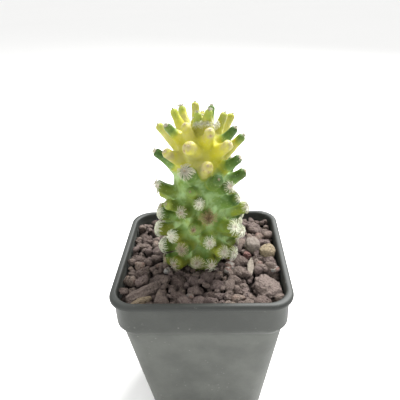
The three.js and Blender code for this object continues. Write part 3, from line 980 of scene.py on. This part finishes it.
def scatter(name, kinds, spots, finish, size=1.0):
    """A plain mesh of the kinds on the spots, given as point attributes in metres and radians."""
    tree = bpy.data.node_groups.get("scatter") or scatter_tree()
    group = bpy.data.collections.new(name + "_kinds")
    for index, (points, faces, values) in enumerate(kinds):
        shape = add_object(f"{name}_{index:02d}", points, faces, values)
        bpy.context.scene.collection.objects.unlink(shape)
        group.objects.link(shape)
    thing = add_object(name, spots.pop("place"), [])
    for key, values in spots.items():
        kind, field = PLACING.get(key, ("FLOAT", "value"))
        layer = thing.data.attributes.new(key, kind, "POINT")
        layer.data.foreach_set(field, np.asarray(values).ravel())
    modifier = thing.modifiers.new("scatter", "NODES")
    modifier.node_group = tree
    given = {"Kinds": group, "Size": size, "Finish": finish}
    for item in tree.interface.items_tree:
        if item.name in given:
            modifier[item.identifier] = given[item.name]
    plain_mesh(thing)
    for key in PLACING:
        layer = thing.data.attributes.get(key)
        if layer:
            thing.data.attributes.remove(layer)
    thing.data.shade_smooth()
    for shape in list(group.objects):
        bpy.data.objects.remove(shape)
    bpy.data.collections.remove(group)
    return thing


def spike(path, radii):
    """Three-sided closed spike along a path, pointed at its end."""
    sides = ((0, 1), (1, 2), (2, 0))
    path = np.asarray(path, float)
    points, faces = [], []
    for index, radius in enumerate(radii):
        way = unit(path[index + 1] - path[max(index - 1, 0)])
        side = unit(np.cross(way, (0.31, 0.17, 0.94)))
        over = np.cross(way, side)
        for turn in (0, 1, 2):
            angle = turn * TURN / 3
            points.append(path[index] + radius * (math.cos(angle) * side + math.sin(angle) * over))
    points.append(path[-1])
    tip = len(points) - 1
    last = tip - 3
    faces.append((2, 1, 0))
    for start in range(0, last, 3):
        faces += [(start + a, start + b, start + b + 3, start + a + 3) for a, b in sides]
    faces += [(last + a, last + b, tip) for a, b in sides]
    return points, faces


def plume(draws, bend, depth, hairs, settings):
    """A feathery spine bent over a dome of unit radius: spikes, and how far out they are."""
    bend = math.radians(draws.uniform(*bend))
    first = draws.uniform(0.06, 0.2)
    lift, flare, sway = draws.uniform((0.04, -0.06, -0.2), (0.26, 0.22, 0.2))

    def along(share):
        angle = first + bend * share
        out = math.sin(min(angle, math.pi / 2)) + flare * share**2
        up = DOME_FOOT + depth * (math.cos(angle) - 1) + lift * math.sin(math.pi * share)
        return np.array((out, sway * share**2, up))

    shares = (0, 0.3, 0.6, 0.85, 1) if hairs > 4 else (0, 0.5, 1)
    radii = [settings.thickness / MEAN_TIP * (1 - 0.55 * share) for share in shares[:-1]]
    spikes = [(spike([along(share) for share in shares], radii), 0.0, 1.0)]
    for index in range(hairs):
        share = 0.12 + 0.84 * (index + draws.uniform(0, 0.6)) / hairs
        side, rise, reach = draws.uniform((0.6, -0.1, 0.7), (1.1, 0.35, 1.1))
        ahead = unit(along(share + 0.02) - along(share))
        way = unit(ahead * 0.8 + (0, side if index % 2 else -side, 0) + np.cross(ahead, (0, 1, 0)) * rise)
        start = along(share)
        end = start + way * (reach * (1.15 - 0.5 * share) * settings.hair / MEAN_TIP)
        spikes.append((spike([start, end], [HAIR_RADIUS / MEAN_TIP]), share, share))
    return spikes


def rosette(seed, kind, settings):
    """Spines that bend from an areole over a finger's end, looking up Z, about a unit radius wide."""
    draws = np.random.default_rng(seed)
    around, middle, hairs, bend, depth = ROSETTES[kind]
    around, middle = round(around * settings.density), round(middle * settings.density)
    rings = [(around, bend, hairs), (middle, (18, 48), min(hairs, 4))]
    points, faces, out = [], [], []
    for count, reach, fringe in rings:
        for number in range(count):
            angle = (number + draws.uniform(-0.4, 0.4)) / count * TURN
            turned = np.array(Matrix.Rotation(angle, 3, "Z")).T
            for (spots, sides), first, last in plume(draws, reach, depth, fringe, settings):
                start = len(points)
                points += list(np.asarray(spots) @ turned)
                faces += [tuple(start + corner for corner in side) for side in sides]
                out += list(np.linspace(first, last, len(spots)))
    return np.array(points) * MM, faces, {"out": out}


def pad(seed):
    """Felted areole: a low uneven cushion of unit radius."""
    draws = np.random.default_rng(seed)
    profile = [(0.16, 0.30), (0.36, 0.34), (0.6, 0.27), (0.84, 0.08), (0.98, -0.22), (0.9, -0.7)]
    rings = []
    for radius, height in reversed(profile):
        uneven = 1 + 0.1 * draws.normal(size=PAD_SIDES) * (radius > 0.2)
        circle = unit_circle(PAD_SIDES) * (radius * uneven)[:, None]
        rings.append(np.c_[circle, height + 0.06 * draws.normal(size=PAD_SIDES)])
    points, faces = loft(rings)
    out = np.repeat([radius for radius, _ in reversed(profile)], PAD_SIDES)
    return points * MM, faces, {"out": out}


def areole(number):
    """Rosette of a finger, how brown it is and its size."""
    for form, marked in AREOLES.items():
        if number in marked:
            return (form, *marked[number])
    form = "bud" if number < YOUNG_FINGERS else "cap" if draw(number, 17) > 0.55 else "star"
    return form, 0.05 + 0.45 * draw(number, 14), 1.0


def finger_spots(plant, numbers, size, rise):
    """Spots on the tips of some fingers for a scatter."""
    facing = np.array([plant.facing(n) for n in numbers])
    shapes = [(0.9 + 0.2 * draw(n, 18), 0.9 + 0.2 * draw(n, 19), 1) for n in numbers]
    return {
        "place": to_frame(lean(plant.tip[numbers] + facing * rise)),
        "facing": facing,
        "spin": [TURN * draw(n, 12) for n in numbers],
        "stretch": size[:, None] * shapes,
        "age": smoothstep(np.array(numbers), YOUNG_FINGERS - 5, YOUNG_FINGERS + 1),
        "tone": [areole(n)[1] for n in numbers],
    }


def spine_material(settings):
    """Translucent feathery plumes on tan feet, some browner, greyer on the young fingers."""
    material, board, shader = new_material("spine_bristle")
    out, age, tone = board.attribute("out"), board.attribute("age"), board.attribute("tone")
    white = board.blend(out.band(0.0, 0.28), settings.foot, settings.plume)
    brown = board.blend(out.band(0.0, 0.9), settings.brown, settings.tan)
    old = board.blend(tone, white, brown)
    grey = board.blend(out.band(0.0, 0.8), settings.young_foot, settings.young_plume)
    beige = board.blend(out.band(0.0, 0.15), settings.young_brown, settings.young_felt)
    colour = board.blend(age, board.blend(tone.band(0.5, 0.9), grey, beige), old)
    normal = board.bump(board.noise(0.0002), 0.00003)
    feed(board, shader, colour=colour, roughness=0.6, normal=normal, specular=0.25)
    feed(board, shader, scatter=0.3, scatter_radius=(1.0, 0.9, 0.75), scatter_scale=0.0006)
    return material


def areole_material(settings):
    """Felt, cream to dark in the middle by how brown the areole is, greyer on the young fingers."""
    material, board, shader = new_material("areole_felt")
    out, age, tone = board.attribute("out"), board.attribute("age"), board.attribute("tone")
    fibre = board.noise(0.00028, 4, 0.7)
    middle = board.blend(tone.band(0.2, 0.6), settings.felt, settings.tan)
    middle = board.blend(tone.band(0.6, 1.0), middle, settings.pit)
    edge = board.blend(tone, settings.foot, settings.tan)
    old = board.blend((out + fibre * 0.5).band(0.3, 0.9), middle, edge)
    dots = board.cells(0.00042).band(0.1, 0.3)
    grey = board.blend((out + fibre).band(0.5, 1.3), settings.young_foot, settings.young_plume)
    beige = board.blend(dots, settings.young_brown, settings.young_felt)
    colour = board.blend(age, board.blend(tone.band(0.5, 0.9), grey, beige), old)
    feed(board, shader, colour=colour, roughness=0.92, normal=board.bump(fibre, 0.0002), specular=0.15)
    feed(board, shader, sheen=0.3, sheen_roughness=0.5)
    return material


class SpineSettings(bpy.types.PropertyGroup):
    """Numbers, sizes and colours of the spines."""

    density: bpy.props.FloatProperty(
        name="Density", description="Share of the full number of spines", default=1.0, min=0.2, max=1.2)
    thickness: bpy.props.FloatProperty(
        name="Thickness", description="Radius of a spine at its foot, in millimetres", default=SPINE_RADIUS)
    hair: bpy.props.FloatProperty(
        name="Hairs", description="Length of the hairs on a spine, in millimetres", default=HAIR_LENGTH)
    foot: colour_property("Foot", "Pinkish tan at the feet of the white spines", (0.64, 0.54, 0.43))
    plume: colour_property("Plume", "White of the feathery spines", (0.84, 0.86, 0.67))
    brown: colour_property("Brown", "Foot of the browner spines", (0.09, 0.06, 0.02))
    tan: colour_property("Tan", "Ends of the browner spines", (0.37, 0.26, 0.115))
    young_foot: colour_property("Young foot", "Grey olive feet of the young spines", (0.12, 0.115, 0.06))
    young_plume: colour_property("Young plume", "Pale grey of the young spines", (0.36, 0.34, 0.23))
    young_brown: colour_property("Young brown", "Brown of the beige young areoles", (0.3, 0.2, 0.1))
    young_felt: colour_property("Young felt", "Beige of the young areoles", (0.52, 0.43, 0.23))
    felt: colour_property("Felt", "Pinkish cream in the middle of the white rosettes", (0.6, 0.51, 0.4))
    pit: colour_property("Pit", "Dark middle of the brown rosettes", (0.07, 0.045, 0.02))


class POTTEDCACTUS_OT_areoles(bpy.types.Operator):
    """Sets a felted pad into the tip of each finger"""

    bl_idname = "potted_cactus.areoles"
    bl_label = "Areoles"

    def execute(self, context):
        plant = Plant()
        numbers = list(range(plant.count))
        sizes = np.array([min(areole(n)[2], PAD_LARGEST) for n in numbers])
        spots = finger_spots(plant, numbers, plant.radius * PAD_SHARE * sizes, -PAD_SINK)
        spots["kind"] = [n % PAD_KINDS for n in numbers]
        kinds = [pad(PAD_SEED + index) for index in range(PAD_KINDS)]
        finish = areole_material(context.scene.potted_cactus_spines)
        pads = scatter("areole_pads", kinds, spots, finish)
        finish_piece(pads, "cactus_skin", "cactus")
        return {"FINISHED"}


class POTTEDCACTUS_OT_spines(bpy.types.Operator):
    """Sets a rosette of feathery spines on each areole, and wool between the youngest fingers"""

    bl_idname = "potted_cactus.spines"
    bl_label = "Spines"

    def execute(self, context):
        plant = Plant()
        settings = context.scene.potted_cactus_spines
        forms = [form for form in ROSETTES for _ in range(ROSETTES_ALIKE)]
        kinds = [rosette(ROSETTE_SEED + index, form, settings) for index, form in enumerate(forms)]
        finish = spine_material(settings)
        groups = {"young_spines": (0, YOUNG_FINGERS), "plumed_spines": (YOUNG_FINGERS, plant.count)}
        for name, ends in groups.items():
            numbers = list(range(*ends))
            sizes = np.array([areole(n)[2] * (0.95 + 0.13 * draw(n, 13)) for n in numbers])
            sizes = (plant.radius[numbers] * ROSETTE_SHARE + ROSETTE_EXTRA) * sizes
            spots = finger_spots(plant, numbers, sizes, ROSETTE_RISE)
            spots["kind"] = [forms.index(areole(n)[0]) + n % ROSETTES_ALIKE for n in numbers]
            finish_piece(scatter(name, kinds, spots, finish), "cactus_skin", "cactus")
        places, sizes = (np.array(column) for column in zip(*WOOL))
        tufts = {
            "place": to_frame(lean(places)),
            "facing": unit(places - WOOL_CENTRE),
            "spin": [TURN * draw(n, 16) for n in range(len(WOOL))],
            "stretch": sizes[:, None] * (1.0, 1.0, 1.3),
            "kind": [n % ROSETTES_ALIKE for n in range(len(WOOL))],
            "age": [0.6] * len(WOOL),
            "tone": [0.1] * len(WOOL),
        }
        wool = scatter("crown_wool", kinds, tufts, finish)
        finish_piece(wool, "cactus_skin", "cactus")
        return {"FINISHED"}


# Gravel
BED_TOP = -5.6
BED_GAP = 0.3
INNER_HALF = INNER_COLLAR - 0.2
INNER_CORNER = COLLAR_CORNER - WALL

# Layers: stones, smallest and largest radius, highest top, spread of the tops, subdivisions of a stone
GRAVEL_LAYERS = {
    "gravel_top": (200, 1.1, 3.3, -0.6, 2.6, 3),
    "gravel_middle": (260, 0.9, 1.9, -2.7, 1.0, 2),
    "gravel_fines": (300, 0.7, 1.3, -3.8, 0.9, 2),
}
STONE_KINDS, STONE_FLATS = 14, 12
GRAVEL_SEED, LAYER_SEEDS, STONE_SEED = 100, 20, 300
STONE_LEVEL = 5

# Stones keep off discs round the neck and in each single stone, are pushed apart in rounds,
# and sink in steps until their cores are clear of the plant
NECK_DISC, STONE_DISC = 4.9, 0.46
SPREAD_ROUNDS, CLOSENESS, PUSH = 160, 0.96, 0.3
SINK_ROUNDS, SINK_STEP = 12, 0.6
CORE_SHARE = 0.8


def icosphere(level):
    work = bmesh.new()
    bmesh.ops.create_icosphere(work, subdivisions=level, radius=1.0)
    points = np.array([corner.co for corner in work.verts])
    faces = [tuple(corner.index for corner in face.verts) for face in work.faces]
    work.free()
    return points, faces


def stone_shape(seed, level, rough=0.13, deepest=0.52):
    """Stone of unit half size: a ball worn to a few flats and roughened."""
    draws = np.random.default_rng(seed)
    points, faces = icosphere(level)
    ways = unit(draws.normal(size=(STONE_FLATS, 3)))
    depths = draws.uniform(deepest, 0.95, STONE_FLATS)
    reach = np.maximum(points @ ways.T, 1e-3)
    worn = np.concatenate([np.ones((len(points), 1)), depths / reach], axis=1)
    radius = -np.log(np.exp(-worn / 0.04).sum(1)) * 0.04
    lumps, grains = wave_noise(points, seed, 0.95), wave_noise(points, seed + 7, 0.36)
    radius *= 1 + rough * lumps + 0.7 * rough * grains
    points = points * radius[:, None]
    middle = (points.max(0) + points.min(0)) / 2
    points = (points - middle) / ((points.max(0) - points.min(0)) / 2)
    return points, faces


def settle_stones(places, radii, fixed):
    """Pushes overlapping stones apart and keeps them off the wall and the fixed discs."""
    for _ in range(SPREAD_ROUNDS):
        apart = places[:, None] - places[None]
        away = np.linalg.norm(apart, axis=-1) + np.eye(len(places))
        overlap = np.clip((radii[:, None] + radii[None]) * CLOSENESS - away, 0, None)
        np.fill_diagonal(overlap, 0)
        places = places + PUSH * (apart / away[..., None] * overlap[..., None]).sum(1)
        for x, y, radius in fixed:
            offset = places - (x, y)
            away = np.linalg.norm(offset, axis=1)
            push = np.clip(radius + radii * CORE_SHARE - away, 0, None)
            places = places + offset / away[:, None] * push[:, None]
        edge = INNER_HALF - radii[:, None]
        places = np.clip(places, -edge, edge)
        past = np.clip(abs(places) - (INNER_HALF - INNER_CORNER), 0, None)
        over = np.clip(np.hypot(*past.T) - np.clip(INNER_CORNER - radii, 0, None), 0, None)
        over *= (past > 0).all(axis=1)
        way = past / (np.hypot(*past.T) + 1e-9)[:, None]
        places -= np.sign(places) * way * over[:, None]
    return places


def fixed_discs():
    """Discs that cover the root neck and each single stone."""
    discs = [(0, 0, NECK_DISC)]
    for (x, y, _), (long, wide, _), turn in STONES.values():
        steps = max(1, round(long / wide))
        angle = math.radians(turn)
        for step in range(steps):
            shift = (long - wide) * ((step + 0.5) / steps - 0.5)
            along = (x + shift * math.cos(angle), y + shift * math.sin(angle))
            discs.append((*along, wide * STONE_DISC))
    return discs


def gravel_spots(plant, layer, seed, fixed, accented):
    """Spots of one layer of stones, low enough to pass under the fingers."""
    count, small, large, top, spread = layer
    draws = np.random.default_rng(seed)
    radii = small + (large - small) * draws.uniform(size=count) ** 1.6
    places = draws.uniform(-INNER_HALF, INNER_HALF, (count, 2))
    tint = 0.84 * draws.uniform(size=count)
    if accented:
        marked = len(ACCENTS)
        places[:marked] = [place for place, _, _ in ACCENTS]
        radii[:marked] = [radius for _, radius, _ in ACCENTS]
        tint[:marked] = [tone for _, _, tone in ACCENTS]
    places = settle_stones(places, radii, fixed)
    stretch = radii[:, None] * draws.uniform((0.9, 0.75, 0.6), (1.15, 1.0, 0.9), (count, 3))
    height = top - spread * draws.uniform(size=count) - stretch[:, 2]
    centre = np.c_[places, height]
    near = plant.near(centre)
    for _ in range(SINK_ROUNDS):
        free = plant.skin(centre, near)[0] - radii * CORE_SHARE
        centre[:, 2] -= np.clip(-free, 0, SINK_STEP)
    facing = unit(draws.normal(size=(count, 3)) * (0.45, 0.45, 0.2) + (0, 0, 1))
    return {
        "place": to_frame(centre),
        "facing": facing,
        "spin": draws.uniform(0, TURN, count),
        "stretch": stretch.astype(np.float32),
        "kind": draws.integers(0, STONE_KINDS, count),
        "tint": tint,
    }


def stone_material(name, settings, stops, pits=1.0, speck=None):
    """Rough stone: tinted stone by stone, mottled, with fine pits darkened by painted shade, grit, and
    painted shade low in the bed.
    """
    material, board, shader = new_material(name)
    place = board.object_place()
    tint = board.attribute("tint")
    mottle = board.noise(0.0018, 5, 0.65, place)
    grit = board.noise(0.0005, 4, 0.7, place)
    share = tint * 0.84 + mottle * 0.55 - 0.19
    ramp = board.node("ShaderNodeValToRGB", {"stops": stops}, {0: share}, "Color")
    # Pits: dented by the bump and darkened with painted shade
    shaded_hollow = 1 - board.cells(0.0011, place).band(0.12, 0.45)
    shaded_hollow = shaded_hollow * board.noise(0.003, 2).band(0.4, 0.6)
    shade = 1 - board.height(place).band((RIM_Z - 5.5) * MM, (RIM_Z - 2.2) * MM)
    colour = board.coats(
        ramp,
        (grit.band(0.45, 0.75) * 0.6, settings.grit),
        (shaded_hollow * 0.3 * pits, settings.pit),
        (shade * 0.75, settings.pit),
    )
    if speck:
        spots = (1 - board.cells(0.0014, place).band(0.16, 0.24)) * mottle.band(0.4, 0.6)
        colour = board.blend(spots, colour, speck)
    normal = board.bump(mottle * 1.5 + grit * 1.2 - shaded_hollow * (0.8 * pits), 0.0011)
    feed(board, shader, colour=colour, roughness=0.86 + grit * 0.1, normal=normal, specular=0.2)
    return material


# Colours of the lava, along the tint of a stone
LAVA_STOPS = (
    (0.0, (0.089, 0.064, 0.056)),
    (0.2, (0.137, 0.1, 0.088)),
    (0.42, (0.205, 0.16, 0.137)),
    (0.6, (0.154, 0.114, 0.107)),
    (0.76, (0.257, 0.203, 0.166)),
    (0.86, (0.228, 0.131, 0.109)),
    (0.93, (0.388, 0.353, 0.319)),
    (1.0, (0.308, 0.319, 0.314)),
)

# Stones of the top layer that stand out: place, radius and tint
ACCENTS = (
    ((8.8, -5.0), 2.1, 0.98),
    ((10.2, -2.2), 1.6, 0.95),
    ((12.0, -6.8), 1.5, 1.0),
    ((22.6, -6.2), 1.6, 1.0),
    ((19.3, -5.2), 1.9, 0.86),
    ((17.4, -8.6), 1.7, 0.6),
    ((-6.2, -9.6), 1.4, 0.97),
    ((15.0, 16.0), 2.2, 0.86),
    ((19.4, 13.0), 2.3, 0.86),
    ((22.4, 8.2), 2.4, 0.76),
    ((20.6, 18.2), 3.0, 0.5),
    ((-7.6, -20.6), 1.6, 0.96),
)


class GravelSettings(bpy.types.PropertyGroup):
    """Make-up of the gravel."""

    seed: bpy.props.IntProperty(name="Seed", description="Draw that scatters the stones", default=21)
    size: bpy.props.FloatProperty(name="Size", description="Share of the stones' full size", default=1.0)
    grit: colour_property("Grit", "Pale dust on the stones", (0.33, 0.285, 0.245))
    # Pits colour: painted shade in the stones' pits, low in the bed and over the whole bed under the stones
    pit: colour_property("Pits", "Dark of the pits and of the bed", (0.022, 0.015, 0.013))


class POTTEDCACTUS_OT_gravel(bpy.types.Operator):
    """Fills the pot with a bed and three layers of lava gravel"""

    bl_idname = "potted_cactus.gravel"
    bl_label = "Gravel"

    def execute(self, context):
        settings = context.scene.potted_cactus_gravel
        plant = Plant()
        fixed = fixed_discs()
        # The bed is a nearly black sheet under the stones with pale grit on it: painted shade seen in the
        # gaps between them
        outline = [(INNER_BASE, FOOT + FLOOR + BED_GAP), (INNER_BODY, -STEP_DEPTH - WALL)]
        outline += [(INNER_COLLAR, -COLLAR_DEPTH), (INNER_COLLAR, BED_TOP)]
        points, faces = loft([square_ring(half - BED_GAP, BASE_CORNER - WALL, z) for half, z in outline])
        dust = stone_material("gravel_dust", settings, ((0, settings.pit), (1, settings.pit)))
        tint = {"tint": np.zeros(len(points))}
        bed = add_object("gravel_bed", to_frame(points), faces, tint, dust)
        mark_sharp(bed.data, SHARP_DEG)
        finish_piece(bed, "lava_gravel", "soil")
        finish = stone_material("lava_gravel", settings, LAVA_STOPS)
        for index, (name, (*layer, level)) in enumerate(GRAVEL_LAYERS.items()):
            kinds = []
            for kind in range(STONE_KINDS):
                points, faces = stone_shape(GRAVEL_SEED + LAYER_SEEDS * index + kind, level)
                kinds.append((points * MM, faces, None))
            on_top = index == 0
            discs = fixed if on_top else fixed[:1]
            spots = gravel_spots(plant, layer, settings.seed + index, discs, on_top)
            stones = scatter(name, kinds, spots, finish, settings.size)
            finish_piece(stones, "lava_gravel", "soil")
        return {"FINISHED"}


# Single stones: slot, colours from dark to light, roughness and deepest flat, depth of the pits and of
# their painted shade, specks
STONE_FINISHES = {
    "large_stone": ("mauve_stone", (0.16, 0.12, 0.108), (0.27, 0.215, 0.19), (0.17, 0.8), 1.0, None),
    "long_stone": ("mauve_stone", (0.17, 0.13, 0.115), (0.26, 0.205, 0.18), (0.13, 0.7), 0.9, None),
    "grey_pebble": ("grey_stone", (0.27, 0.23, 0.195), (0.4, 0.35, 0.31), (0.05, 0.88), 0.3, None),
    "cream_pebble": (
        "cream_stone", (0.27, 0.21, 0.13), (0.45, 0.37, 0.25), (0.07, 0.84), 0.7, (0.16, 0.11, 0.07)),
    "red_chip": ("red_stone", (0.15, 0.07, 0.062), (0.25, 0.125, 0.112), (0.07, 0.6), 0.5, None),
    "pale_sliver": ("pale_stone", (0.26, 0.22, 0.18), (0.42, 0.37, 0.31), (0.1, 0.6), 0.8, None),
    "tan_stone": ("tan_stone", (0.27, 0.2, 0.13), (0.42, 0.33, 0.23), (0.06, 0.6), 0.7, None),
}


class POTTEDCACTUS_OT_single_stones(bpy.types.Operator):
    """Beds the single stones that stand out of the gravel"""

    bl_idname = "potted_cactus.single_stones"
    bl_label = "Single stones"

    def execute(self, context):
        settings = context.scene.potted_cactus_gravel
        for index, (name, (at, size, turn)) in enumerate(STONES.items()):
            slot, dark, light, (rough, deepest), pits, speck = STONE_FINISHES[name]
            points, faces = stone_shape(STONE_SEED + index, STONE_LEVEL, rough, deepest)
            turned = np.array(Matrix.Rotation(math.radians(turn), 3, "Z"))
            points = (points * size / 2) @ turned.T + at
            stops = ((0.1, dark), (0.9, light))
            material = stone_material(name, settings, stops, pits, speck)
            tint = {"tint": np.full(len(points), 0.5)}
            stone = add_object("worn_" + name, to_frame(points), faces, tint, material)
            finish_piece(stone, slot, name)
        return {"FINISHED"}


# Stage in metres: the floor, and the lamps' places and sizes and what they light
STAGE_HALF, STAGE_Z = 4.0, -0.00005
LAMPS = {
    "key": ((0.16, 0.24, 0.42), 0.3),
    "fill": ((-0.3, -0.35, 0.35), 0.35),
}
LAMP_TARGET = Vector((0, 0, 0.07))
WHITE = (1.0, 1.0, 1.0, 1.0)
CLIP_START = 0.01


class StageSettings(bpy.types.PropertyGroup):
    """Floor and light."""

    floor: colour_property("Floor", "Colour of the floor", (0.93, 0.93, 0.92))
    sky: bpy.props.FloatProperty(
        name="Sky", description="Strength of the white surroundings", default=1.0)
    key: bpy.props.FloatProperty(
        name="Key light", description="Power of the light behind the plant", default=6.5, unit="POWER")
    fill: bpy.props.FloatProperty(
        name="Fill light", description="Power of the light in front", default=1.0, unit="POWER")


def camera_axes():
    """Right, up and back of the camera."""
    down, left, roll = map(math.radians, (CAMERA_DOWN, CAMERA_LEFT, CAMERA_ROLL))
    ahead = Vector((-math.sin(left) * math.cos(down), math.cos(left) * math.cos(down), -math.sin(down)))
    right = Vector((math.cos(left), math.sin(left), 0))
    up = right.cross(ahead)
    across = right * math.cos(roll) - up * math.sin(roll)
    up = right * math.sin(roll) + up * math.cos(roll)
    return across, up, -ahead


class POTTEDCACTUS_OT_stage(bpy.types.Operator):
    """Sets the floor, the white surroundings, two soft lights and the camera"""

    bl_idname = "potted_cactus.stage"
    bl_label = "Stage"

    def execute(self, context):
        settings = context.scene.potted_cactus_stage
        corners = flat_ring(rectangle(STAGE_HALF, STAGE_HALF), STAGE_Z)
        material, board, shader = new_material("floor_paper")
        shade = board.blend(board.noise(0.4, 2) * 0.2, settings.floor, (0.8, 0.8, 0.8))
        feed(board, shader, colour=shade, roughness=0.85, specular=0.1)
        floor = add_object("floor", corners, [(0, 1, 2, 3)], material=material)
        world = bpy.data.worlds.new("surroundings")
        world.use_nodes = True
        background = world.node_tree.nodes["Background"]
        background.inputs["Color"].default_value = WHITE
        background.inputs["Strength"].default_value = settings.sky
        context.scene.world = world
        context.scene.view_settings.view_transform = "Standard"
        for name, (place, size) in LAMPS.items():
            lamp = bpy.data.lights.new(name, "AREA")
            lamp.energy = getattr(settings, name)
            lamp.size = size
            thing = add_thing(name, lamp)
            thing.location = place
            way = LAMP_TARGET - Vector(place)
            thing.rotation_euler = way.to_track_quat("-Z", "Y").to_euler()
        camera = bpy.data.cameras.new("camera")
        camera.sensor_width = SENSOR
        camera.lens = FOCAL_PIXELS / PICTURE_PIXELS * SENSOR
        camera.clip_start = CLIP_START
        eye = add_thing("camera", camera)
        turned = Matrix(camera_axes()).transposed().to_4x4()
        turned.translation = Vector(to_frame(CAMERA_AT))
        eye.matrix_world = turned
        context.scene.camera = eye
        return {"FINISHED"}


class POTTEDCACTUS_PT_sidebar(bpy.types.Panel):
    """Steps that build the potted cactus"""

    bl_idname = "POTTEDCACTUS_PT_sidebar"
    bl_label = "Potted cactus"
    bl_space_type = "VIEW_3D"
    bl_region_type = "UI"
    bl_category = "Potted cactus"

    def draw(self, context):
        for group in GROUPS:
            settings = getattr(context.scene, group)
            box = self.layout.box()
            for name in settings.bl_rna.properties.keys():
                if name not in ("rna_type", "name"):
                    box.prop(settings, name)
        for step in STEPS:
            self.layout.operator(step.bl_idname)


GROUPS = {
    "potted_cactus_pot": PotSettings,
    "potted_cactus_plant": PlantSettings,
    "potted_cactus_spines": SpineSettings,
    "potted_cactus_gravel": GravelSettings,
    "potted_cactus_stage": StageSettings,
}
STEPS = (
    POTTEDCACTUS_OT_pot,
    POTTEDCACTUS_OT_gravel,
    POTTEDCACTUS_OT_single_stones,
    POTTEDCACTUS_OT_plant,
    POTTEDCACTUS_OT_areoles,
    POTTEDCACTUS_OT_spines,
    POTTEDCACTUS_OT_stage,
)


def register():
    for kind in (*GROUPS.values(), *STEPS, POTTEDCACTUS_PT_sidebar):
        bpy.utils.register_class(kind)
    for name, kind in GROUPS.items():
        setattr(bpy.types.Scene, name, bpy.props.PointerProperty(type=kind))


def unregister():
    for name in GROUPS:
        delattr(bpy.types.Scene, name)
    for kind in reversed((*GROUPS.values(), *STEPS, POTTEDCACTUS_PT_sidebar)):
        bpy.utils.unregister_class(kind)


def main():
    register()
    for step in STEPS:
        family, name = step.bl_idname.split(".")
        getattr(getattr(bpy.ops, family), name)()


if __name__ == "__main__":
    main()
